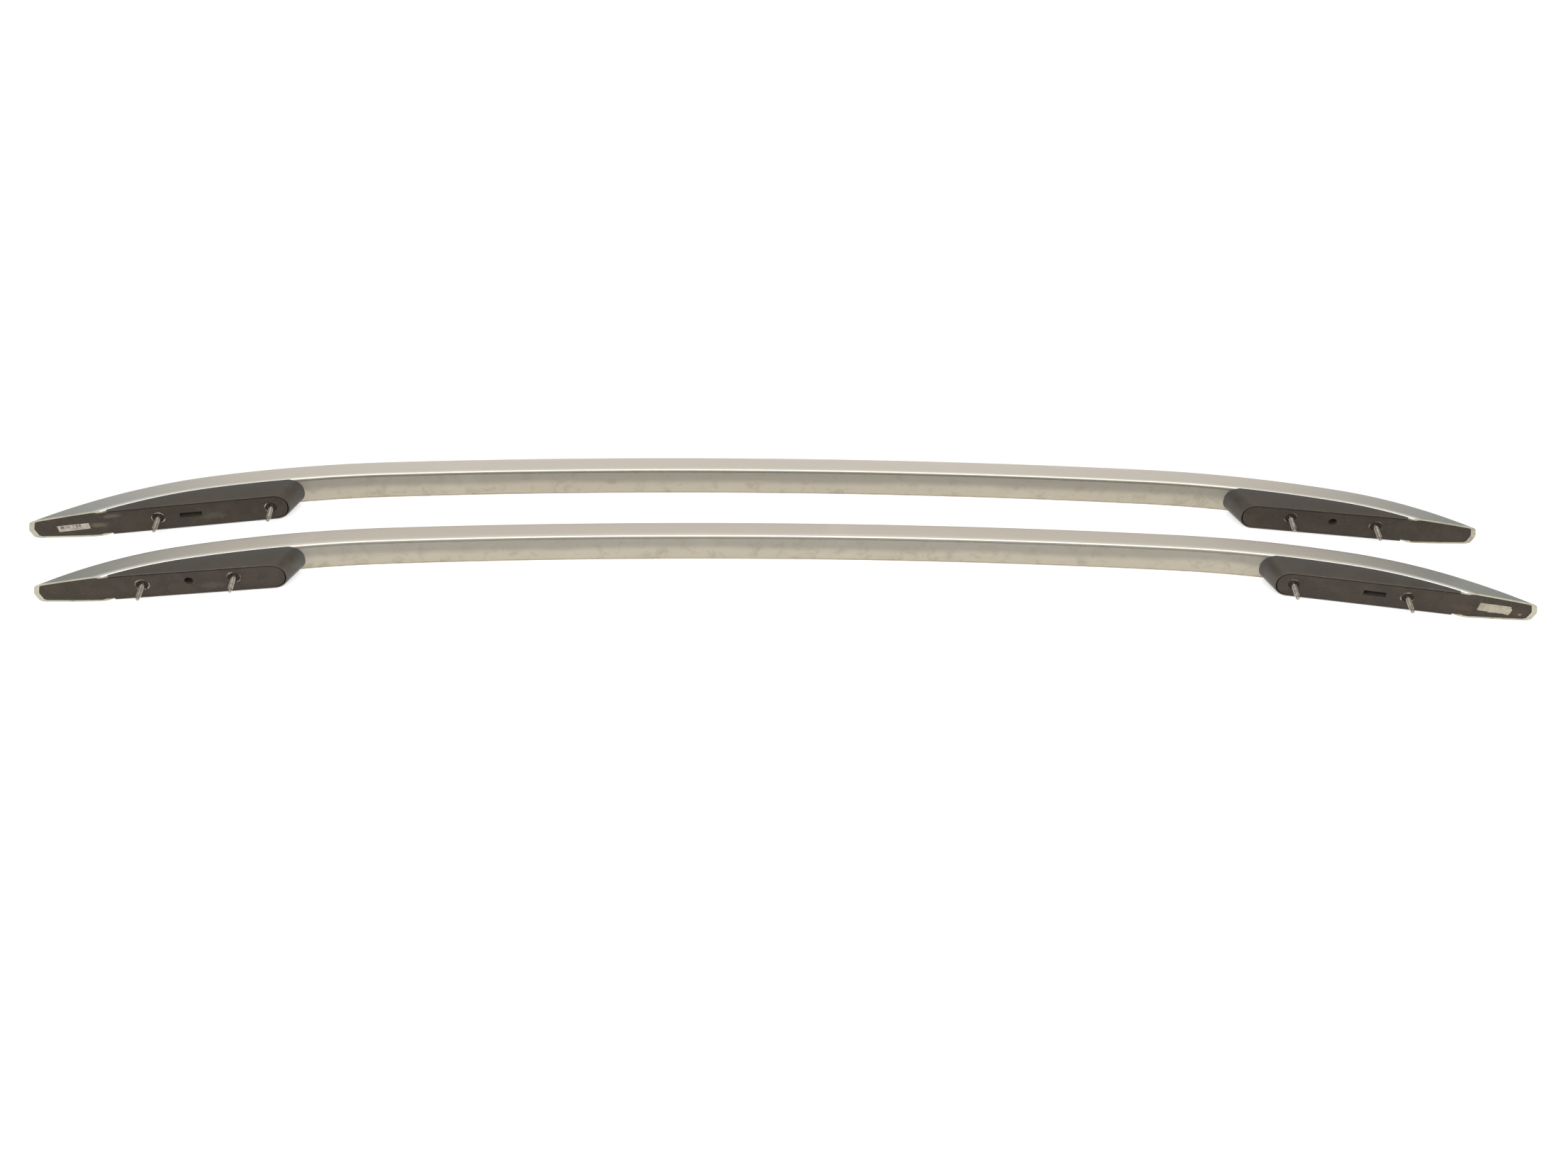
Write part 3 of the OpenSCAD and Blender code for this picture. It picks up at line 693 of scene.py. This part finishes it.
class Finish:
    """A material of one principled shader, with the nodes that its maker adds."""

    def __init__(self, name, color, roughness, metallic=0.0):
        self.material = bpy.data.materials.new(name)
        self.material.use_nodes = True
        self.nodes = Nodes(self.material.node_tree)
        self.shader = self.material.node_tree.nodes["Principled BSDF"]
        self.shader.inputs["Base Color"].default_value = (*color, 1.0)
        self.shader.inputs["Roughness"].default_value = roughness
        self.shader.inputs["Metallic"].default_value = metallic
        self.place = self.nodes.add("ShaderNodeTexCoord", "place")

    def at(self):
        """Place on the object in metres."""
        return self.place.outputs["Object"]

    def group(self, group, label, **inputs):
        """A node group with its own values, each named after its socket in small letters."""
        node = self.nodes.add("ShaderNodeGroup", label, node_tree=group)
        for key, value in inputs.items():
            if isinstance(value, bpy.types.NodeSocket):
                self.nodes.tree.links.new(value, node.inputs[key.title()])
            else:
                node.inputs[key.title()].default_value = value
        return node

    def value(self, name):
        """A number that the mesh carries."""
        return self.nodes.add("ShaderNodeAttribute", name, attribute_name=name).outputs["Fac"]

    def feed(self, key, output):
        """Join an output to the shader."""
        self.nodes.tree.links.new(output, self.shader.inputs[key])


def anodised_aluminium():
    """Satin aluminium: warm grey, with a painted cooler, darker reflection towards the tips, and faint die
    lines.

    The underside is rougher and smudged, with painted shade: a darker, warmer tone than the side, and darker
    still in its upper half as the rail lies, a painted reflection.
    """
    finish = Finish("satin_aluminium", (0.6, 0.56, 0.5), 0.3, 1.0)
    nodes = finish.nodes
    lines = finish.group(LINES, "die lines", vector=finish.place.outputs["UV"], fineness=1500.0, depth=0.1)
    grime = finish.group(GRIME, "smudges", vector=finish.at(), scale=60.0, cover=0.3)
    film = finish.group(GRIME, "dull film", vector=finish.at(), scale=7.0, cover=0.5)
    # Painted shade: the underside, found by its section height, gets a darker, warmer tone than the side of
    # the same metal.
    under = nodes.ramp("underside", finish.value("section_height"), 0.2, 2.2, 1.0, 0.0)
    spot = nodes.add("ShaderNodeSeparateXYZ", "place on the rail", {0: finish.at()})
    far = nodes.math("distance from the middle", "ABSOLUTE", spot.outputs[0])
    # Painted reflection: the side's colour turns cooler and darker towards the tips.
    tip = nodes.ramp("towards the tips", far, 0.62, 0.92)
    side = nodes.mix("painted cooler reflection at the tips", tip, (0.72, 0.67, 0.59), (0.62, 0.63, 0.6))
    faint_lines = nodes.math("faint", "MULTIPLY", lines.outputs["Line"], 0.28)
    side = nodes.mix("die lines in the tone", faint_lines, side, (0.5, 0.47, 0.42))
    # Painted reflection: the underside is darker above a wavy height as the rail lies.
    wave = nodes.add("ShaderNodeTexNoise", "wavy border", {
        "Vector": finish.at(), "Scale": 9.0, "Detail": 3.0}).outputs["Fac"]
    level = nodes.math("wavy height", "MULTIPLY_ADD", wave, 0.012, spot.outputs[2])
    dull = nodes.ramp("painted darker reflection on the upper half", level, 0.022, 0.034)
    belly = nodes.mix("painted two-tone reflection", dull, (0.5, 0.455, 0.37), (0.36, 0.335, 0.285))
    faint_smudges = nodes.math("faint smudges", "MULTIPLY", grime.outputs["Mask"], 0.4)
    belly = nodes.mix("smudged underside", faint_smudges, belly, (0.3, 0.26, 0.2))
    finish.feed("Base Color", nodes.mix("side and underside", under, side, belly))
    film_rough = nodes.ramp("film roughness", film.outputs["Mask"], 0.0, 1.0, 0.27, 0.38)
    finish.feed("Roughness", nodes.math("rougher underside", "MULTIPLY_ADD", under, 0.14, film_rough))
    finish.feed("Normal", lines.outputs["Normal"])
    return finish.material


def sawn_aluminium():
    """Sawn end of the extrusion: dull cream oxide with fine saw marks."""
    finish = Finish("sawn_aluminium", (0.62, 0.57, 0.45), 0.6, 0.35)
    nodes = finish.nodes
    marks = finish.group(LINES, "saw marks", vector=finish.at(), fineness=2400.0, depth=0.35)
    grime = finish.group(GRIME, "dark oxide", vector=finish.at(), scale=60.0, cover=0.32)
    color = nodes.mix("oxide", grime.outputs["Mask"], (0.6, 0.57, 0.44), (0.4, 0.37, 0.27))
    finish.feed("Base Color", color)
    finish.feed("Normal", marks.outputs["Normal"])
    return finish.material


def moulded_plastic():
    """Foot cover: dark warm grey plastic, fine grained, filmed, with a painted cool sheen by the rail, rubbed
    at its lip.
    """
    finish = Finish("moulded_plastic", (0.07, 0.058, 0.043), 0.5)
    nodes = finish.nodes
    grain = finish.group(GRAIN, "grain", vector=finish.at(), scale=1500.0, depth=0.22)
    grime = finish.group(GRIME, "road film", vector=finish.at(), scale=30.0, cover=0.4)
    worn = finish.group(GRIME, "rubbed spots", vector=finish.at(), scale=300.0, cover=0.24)
    color = nodes.mix("film", nodes.math("thin film", "MULTIPLY", grime.outputs["Mask"], 0.5),
                      (0.066, 0.055, 0.041), (0.1, 0.086, 0.066))
    color = nodes.mix("flecks", nodes.math("few flecks", "MULTIPLY", grain.outputs["Fleck"], 0.25),
                      color, (0.14, 0.12, 0.095))
    # Painted sheen: the wall turns a cooler grey over its upper part next to the rail.
    near = nodes.ramp("next to the rail", finish.value("rise"), 0.45, 1.0, 0.0, 0.6)
    color = nodes.mix("cool sheen", near, color, (0.076, 0.077, 0.077))
    rub = nodes.math("rubbed lip", "MULTIPLY", finish.value("rim"), worn.outputs["Mask"])
    rub = nodes.math("thin wear", "MULTIPLY", rub, 0.6)
    color = nodes.mix("light wear", rub, color, (0.3, 0.26, 0.2))
    finish.feed("Base Color", color)
    finish.feed("Roughness", nodes.ramp("film roughness", grime.outputs["Mask"], 0.0, 1.0, 0.42, 0.58))
    finish.feed("Normal", grain.outputs["Normal"])
    return finish.material


def grained_pad(marks):
    """Base pad: coarse dark rubber, grit in its grain, dried dirt in patches and at the named places."""
    finish = Finish("grained_pad", (0.053, 0.041, 0.029), 0.82)
    nodes = finish.nodes
    grain = finish.group(GRAIN, "coarse grain", vector=finish.at(), scale=850.0, depth=0.55)
    grime = finish.group(GRIME, "dried dirt", vector=finish.at(), scale=38.0, cover=0.36)
    color = nodes.mix("dirt", nodes.math("thin dirt", "MULTIPLY", grime.outputs["Mask"], 0.35),
                      (0.048, 0.037, 0.026), (0.088, 0.07, 0.05))
    color = nodes.mix("grit", nodes.math("some grit", "MULTIPLY", grain.outputs["Fleck"], 0.75),
                      color, (0.16, 0.13, 0.095))
    for label, place, stretch, tint, amount in marks:
        mark = finish.group(SMUDGE, label, vector=finish.at(), place=place, stretch=stretch)
        part = nodes.math("part of it", "MULTIPLY", mark.outputs["Mask"], amount)
        color = nodes.mix(label, part, color, tint)
    finish.feed("Base Color", color)
    finish.feed("Normal", grain.outputs["Normal"])
    return finish.material


def plated_steel():
    """Zinc plated studs: warm grey, darker in the grooves of the thread."""
    finish = Finish("plated_steel", (0.55, 0.5, 0.43), 0.38, 0.85)
    nodes = finish.nodes
    grime = finish.group(GRIME, "dull zinc", vector=finish.at(), scale=150.0, cover=0.4)
    color = nodes.mix("dull patches", grime.outputs["Mask"], (0.5, 0.455, 0.39), (0.36, 0.32, 0.265))
    # Darker and rougher with the depth of the thread's grooves.
    deep = nodes.ramp("grooves", finish.value("groove"), 0.35, 0.95)
    color = nodes.mix("darker in the grooves", nodes.math("most of it", "MULTIPLY", deep, 0.75),
                      color, (0.2, 0.165, 0.12))
    finish.feed("Base Color", color)
    finish.feed("Roughness", nodes.ramp("groove roughness", deep, 0.0, 1.0, 0.36, 0.6))
    return finish.material


def coated_casting():
    """Die-cast brackets under a black coat that has gone grey in places; the near-black also serves as
    painted shade inside the slot and the hole.
    """
    finish = Finish("coated_casting", (0.02, 0.019, 0.017), 0.6)
    nodes = finish.nodes
    grain = finish.group(GRAIN, "cast skin", vector=finish.at(), scale=600.0, depth=0.25)
    grime = finish.group(GRIME, "grey bloom", vector=finish.at(), scale=45.0, cover=0.42)
    color = nodes.mix("bloom", grime.outputs["Mask"], (0.016, 0.015, 0.013), (0.05, 0.045, 0.037))
    finish.feed("Base Color", color)
    finish.feed("Normal", grain.outputs["Normal"])
    return finish.material


def zinc_screw():
    """Screws inside the feet: bright zinc with a dull bloom."""
    finish = Finish("zinc_screw", (0.5, 0.5, 0.48), 0.35, 1.0)
    nodes = finish.nodes
    grime = finish.group(GRIME, "bloom", vector=finish.at(), scale=180.0, cover=0.4)
    color = nodes.mix("bloom", grime.outputs["Mask"], (0.56, 0.56, 0.54), (0.36, 0.35, 0.32))
    finish.feed("Base Color", color)
    return finish.material


def foam_seal():
    """Sealing rings: matt dark foam with dust in its pores."""
    finish = Finish("foam_seal", (0.03, 0.026, 0.021), 0.9)
    nodes = finish.nodes
    grain = finish.group(GRAIN, "pores", vector=finish.at(), scale=1100.0, depth=0.7)
    color = nodes.mix("dust", grain.outputs["Fleck"], (0.026, 0.022, 0.017), (0.1, 0.085, 0.065))
    finish.feed("Base Color", color)
    finish.feed("Normal", grain.outputs["Normal"])
    return finish.material


def old_sealant():
    """Dried sealant: chalky grey brown, dirty on its bumps."""
    finish = Finish("old_sealant", (0.3, 0.26, 0.2), 0.85)
    nodes = finish.nodes
    grain = finish.group(GRAIN, "crumbs", vector=finish.at(), scale=500.0, depth=0.8)
    grime = finish.group(GRIME, "dirt", vector=finish.at(), scale=240.0, cover=0.45)
    color = nodes.mix("dirty bumps", grime.outputs["Mask"], (0.56, 0.52, 0.45), (0.2, 0.17, 0.13))
    finish.feed("Base Color", color)
    finish.feed("Normal", grain.outputs["Normal"])
    return finish.material


def label_paper(name, tint, stain, strokes):
    """Label paper, stained in patches; strokes adds a row of plain upright strokes and a thin line."""
    finish = Finish(name, tint, 0.7)
    nodes = finish.nodes
    grime = finish.group(GRIME, "stains", vector=finish.at(), scale=110.0, cover=0.4)
    crease = finish.group(GRAIN, "paper", vector=finish.at(), scale=700.0, depth=0.3)
    pale = nodes.math("pale stains", "MULTIPLY", grime.outputs["Mask"], 0.7)
    color = nodes.mix("stained", pale, tint, stain)
    if strokes:
        parts = nodes.add("ShaderNodeSeparateXYZ", "on the label", {0: finish.place.outputs["UV"]})
        across, down = parts.outputs[0], parts.outputs[1]
        cell = nodes.math("stroke number", "FLOOR", nodes.math("strokes", "MULTIPLY", across, 52.0))
        noise = nodes.add("ShaderNodeTexWhiteNoise", "stroke or gap", {"W": cell}, noise_dimensions="1D")
        stroke = nodes.math("is a stroke", "GREATER_THAN", noise.outputs["Value"], 0.48)
        inside = [
            nodes.ramp("from the left", across, 0.08, 0.09),
            nodes.ramp("to the right", across, 0.8, 0.81, 1.0, 0.0),
            nodes.ramp("from the top", down, 0.05, 0.08),
            nodes.ramp("to the middle", down, 0.5, 0.55, 1.0, 0.0),
        ]
        for edge in inside:
            stroke = nodes.math("inside the row", "MULTIPLY", stroke, edge)
        above = nodes.ramp("line above", down, 0.64, 0.66)
        below = nodes.ramp("line below", down, 0.7, 0.72, 1.0, 0.0)
        line = nodes.math("thin line", "MULTIPLY", above, below)
        line = nodes.math("line from", "MULTIPLY", line, nodes.ramp("line start", across, 0.35, 0.37))
        line = nodes.math("line to", "MULTIPLY", line, nodes.ramp("line end", across, 0.62, 0.64, 1.0, 0.0))
        ink = nodes.math("ink", "MAXIMUM", stroke, line)
        faded = nodes.math("faded ink", "MULTIPLY", ink, 0.78)
        color = nodes.mix("printed strokes", faded, color, (0.09, 0.065, 0.05))
    finish.feed("Base Color", color)
    finish.feed("Normal", crease.outputs["Normal"])
    return finish.material


def on_pad(rail, foot, u, z):
    """Place on a pad in metres, as three numbers."""
    return tuple(float(c) for c in rail.foot_world(foot, u, 0.0, z))


# Dirt on the pads: label, place, how soon it ends along each axis, colour and strength
MARKS = [
    ("smear by the label", on_pad(BACK, SLOT, -12.0, 19.0), (60.0, 60.0, 160.0), (0.2, 0.165, 0.115), 0.6),
    ("rubbed edge", on_pad(BACK, SLOT, 6.0, 32.0), (50.0, 50.0, 220.0), (0.16, 0.15, 0.12), 0.6),
    ("brown dirt", on_pad(FRONT, SLOT, -8.0, 16.0), (45.0, 45.0, 120.0), (0.095, 0.062, 0.035), 0.8),
    ("brown dirt at the tip", on_pad(FRONT, SLOT, -70.0, 18.0), (70.0, 70.0, 120.0),
     (0.09, 0.058, 0.035), 0.7),
    ("scuff", on_pad(FRONT, SLOT, -75.5, 15.0), (260.0, 260.0, 330.0), (0.3, 0.24, 0.19), 0.8),
    ("dust by the slot", on_pad(BACK, SLOT, 130.0, 17.0), (40.0, 40.0, 110.0), (0.11, 0.095, 0.07), 0.6),
    ("dust by the hole", on_pad(FRONT, HOLE, 120.0, 14.0), (40.0, 40.0, 110.0), (0.11, 0.095, 0.07), 0.5),
]

rail_finish = anodised_aluminium()
sawn_finish = sawn_aluminium()
cover_finish = moulded_plastic()
pad_finish = grained_pad(MARKS)
bracket_finish = coated_casting()
stud_finish = plated_steel()
screw_finish = zinc_screw()
seal_finish = foam_seal()
sealant_finish = old_sealant()
stroke_paper = label_paper("label_with_strokes", (0.62, 0.58, 0.5), (0.42, 0.36, 0.27), True)
torn_paper = label_paper("torn_label", (0.55, 0.5, 0.4), (0.36, 0.3, 0.2), False)

# Beads of sealant: from and to in degrees round the stud, radius of the circle, thickness
BEADS = {
    ("front", "hole", "outer"): [(60, 190, 8.3, 0.75), (-60, 20, 8.2, 0.6), (205, 262, 8.6, 0.55),
                                 (275, 292, 7.6, 0.7)],
    ("front", "hole", "inner"): [(80, 170, 8.0, 0.6), (-75, -30, 8.4, 0.7), (-20, 25, 8.0, 0.35)],
    ("back", "slot", "outer"): [(20, 120, 7.9, 0.45), (150, 215, 8.0, 0.4), (285, 345, 8.3, 0.6)],
    ("back", "slot", "inner"): [(120, 185, 7.9, 0.5), (200, 235, 8.2, 0.6)],
    ("front", "slot", "outer"): [(30, 110, 8.0, 0.5), (-40, 15, 8.2, 0.55), (190, 250, 8.0, 0.4)],
    ("front", "slot", "inner"): [(60, 130, 7.9, 0.4), (220, 275, 8.2, 0.45)],
    ("back", "hole", "outer"): [(70, 140, 7.9, 0.4), (-30, 30, 8.1, 0.45)],
    ("back", "hole", "inner"): [(100, 165, 8.0, 0.4), (300, 345, 8.2, 0.45)],
}

for rail in RAILS:
    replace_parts(rail_piece(rail, rail_finish, sawn_finish), f"{rail.name}_rail")
    for foot in FEET:
        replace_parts(cover_piece(rail, foot, cover_finish), f"{rail.name}_{foot.name}_cover")
        for place in foot.studs:
            key = (rail.name, foot.name, place)
            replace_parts(stud_piece(rail, foot, place, stud_finish), "_".join(key) + "_stud")
            seed = len(rail.name + foot.name + place)
            sealant_piece(rail, foot, place, BEADS[key], seed, sealant_finish)
        for node, finish in (("pad", pad_finish), ("bracket", bracket_finish),
                             ("seals", seal_finish), ("screws", screw_finish)):
            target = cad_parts[f"{rail.name}_{foot.name}_{node}"]
            target.data.materials.clear()
            target.data.materials.append(finish)

label_piece("back_slot_label", BACK, SLOT, [(-60.5, 23.2), (-22.0, 23.8), (-21.8, 14.4), (-59.7, 13.0)],
            0.0, 0.0, 3, stroke_paper)
label_piece("front_slot_label", FRONT, SLOT, [(-24.8, 27.6), (-63.0, 26.6), (-64.0, 12.4), (-23.6, 14.6)],
            0.9, 0.5, 7, torn_paper)

# Floor, with its corners in metres
FLOOR_SIDE, FLOOR_NEAR, FLOOR_FAR = 9, -9, 12
floor_corners = [
    (-FLOOR_SIDE, FLOOR_NEAR, 0),
    (FLOOR_SIDE, FLOOR_NEAR, 0),
    (FLOOR_SIDE, FLOOR_FAR, 0),
    (-FLOOR_SIDE, FLOOR_FAR, 0),
]
floor_mesh = bpy.data.meshes.new("floor")
floor_mesh.from_pydata(floor_corners, [], [(0, 1, 2, 3)])
floor = bpy.data.objects.new("floor", floor_mesh)
bpy.context.scene.collection.objects.link(floor)


def seen_ways(nodes):
    """1 where the camera, a reflection or a view through glass meets the background, 0 for other light."""
    path = nodes.add("ShaderNodeLightPath", "way of the light")
    seen = nodes.math("camera or gloss", "MAXIMUM",
                      path.outputs["Is Camera Ray"], path.outputs["Is Glossy Ray"])
    return nodes.math("or glass", "MAXIMUM", seen, path.outputs["Is Transmission Ray"])


def white_floor():
    """Floor that shows as white and keeps a faint shadow of the object."""
    material = bpy.data.materials.new("white_floor")
    material.use_nodes = True
    nodes = Nodes(material.node_tree)
    shader = material.node_tree.nodes["Principled BSDF"]
    shader.inputs["Base Color"].default_value = (0.86, 0.86, 0.86, 1.0)
    shader.inputs["Roughness"].default_value = 0.9
    shader.inputs["Specular IOR Level"].default_value = 0.0
    seen = seen_ways(nodes)
    glow = nodes.add("ShaderNodeEmission", "white", {"Color": (1.0, 1.0, 1.0, 1.0), "Strength": 0.5})
    dark = nodes.add("ShaderNodeEmission", "none", {"Strength": 0.0})
    part = nodes.add("ShaderNodeMixShader", "glow where seen", {
        0: seen, 1: dark.outputs[0], 2: glow.outputs[0]})
    total = nodes.add("ShaderNodeAddShader", "floor", {0: shader.outputs[0], 1: part.outputs[0]})
    nodes.tree.links.new(total.outputs[0], material.node_tree.nodes["Material Output"].inputs["Surface"])
    return material


floor.data.materials.append(white_floor())

# Camera, from the fit to the photograph: lengths in metres, the focal length in pixels of its width
IMAGE_WIDTH = 2212.0
FOCAL_PIXELS = 2500.0
SENSOR_WIDTH = 36.0
CAMERA_PLACE = (-0.0510, -1.61804, 1.5740)
TURN = math.radians(2.2326)
PITCH = math.radians(45.559)
ROLL = math.radians(2.063)
forward = np.array([math.sin(TURN) * math.cos(PITCH), math.cos(TURN) * math.cos(PITCH), -math.sin(PITCH)])
level = np.array([math.cos(TURN), -math.sin(TURN), 0.0])
upward = np.cross(level, forward)
right = math.cos(ROLL) * level + math.sin(ROLL) * upward
up = -math.sin(ROLL) * level + math.cos(ROLL) * upward
camera_data = bpy.data.cameras.new("camera")
camera_data.sensor_width = SENSOR_WIDTH
camera_data.lens = FOCAL_PIXELS * SENSOR_WIDTH / IMAGE_WIDTH
camera = bpy.data.objects.new("camera", camera_data)
bpy.context.scene.collection.objects.link(camera)
seat = Matrix.Identity(4)
for i in range(3):
    seat[i][0], seat[i][1], seat[i][2], seat[i][3] = right[i], up[i], -forward[i], CAMERA_PLACE[i]
camera.matrix_world = seat
bpy.context.scene.camera = camera


def studio_world():
    """World: a level light for the object, and a room for the camera, for reflections and for glass.

    The camera sees it white. Reflections meet a pale wall under a nearly white ceiling, with dark sides
    and a dark low wall behind the camera.
    """
    world = bpy.data.worlds.new("studio")
    world.use_nodes = True
    nodes = Nodes(world.node_tree)
    light = world.node_tree.nodes["Background"]
    light.inputs["Color"].default_value = (1.0, 1.0, 1.0, 1.0)
    light.inputs["Strength"].default_value = 0.5
    direction = nodes.add("ShaderNodeTexCoord", "direction")
    parts = nodes.add("ShaderNodeSeparateXYZ", "its parts", {0: direction.outputs["Generated"]})
    aside = nodes.math("either side", "ABSOLUTE", parts.outputs[0])
    depth, height = parts.outputs[1], parts.outputs[2]
    tone = nodes.ramp("wall to ceiling", height, 0.3, 0.75)
    wall = nodes.mix("wall", tone, (0.84, 0.82, 0.79), (0.98, 0.98, 0.97))
    behind = nodes.math("low wall behind the camera", "MULTIPLY",
                        nodes.ramp("behind", depth, -0.35, -0.05, 1.0, 0.0),
                        nodes.ramp("under the lamp", height, 0.5, 0.75, 1.0, 0.0))
    wall = nodes.mix("dark wall", behind, wall, (0.05, 0.05, 0.055))
    wall = nodes.mix("dark sides", nodes.ramp("side walls", aside, 0.26, 0.5), wall, (0.2, 0.205, 0.2))
    camera_ray = nodes.add("ShaderNodeLightPath", "way of the light").outputs["Is Camera Ray"]
    wall = nodes.mix("white where the camera looks", camera_ray, wall, (1.0, 1.0, 1.0))
    seen = nodes.add("ShaderNodeBackground", "seen wall", {"Color": wall, "Strength": 1.0})
    both = nodes.add("ShaderNodeMixShader", "seen or light", {
        0: seen_ways(nodes), 1: light.outputs[0], 2: seen.outputs[0]})
    nodes.tree.links.new(both.outputs[0], world.node_tree.nodes["World Output"].inputs["Surface"])
    return world


bpy.context.scene.world = studio_world()


def soft_box(name, place, target, size, power):
    """Area lamp of two sizes in metres that faces its target."""
    data = bpy.data.lights.new(name, "AREA")
    data.shape = "RECTANGLE"
    data.size, data.size_y = size
    data.energy = power
    lamp = bpy.data.objects.new(name, data)
    way = np.array(target, float) - np.array(place, float)
    way /= np.linalg.norm(way)
    across = np.cross(way, (0.0, 0.0, 1.0))
    across /= np.linalg.norm(across)
    high = np.cross(across, way)
    turn = Matrix.Identity(4)
    for k in range(3):
        turn[k][0], turn[k][1], turn[k][2], turn[k][3] = across[k], high[k], -way[k], place[k]
    lamp.matrix_world = turn
    bpy.context.scene.collection.objects.link(lamp)


soft_box("soft_box_over_the_camera", (0.0, -1.9, 2.1), (0.0, 0.0, 0.0), (3.2, 1.5), 48.0)

bpy.context.scene.view_settings.view_transform = "Standard"
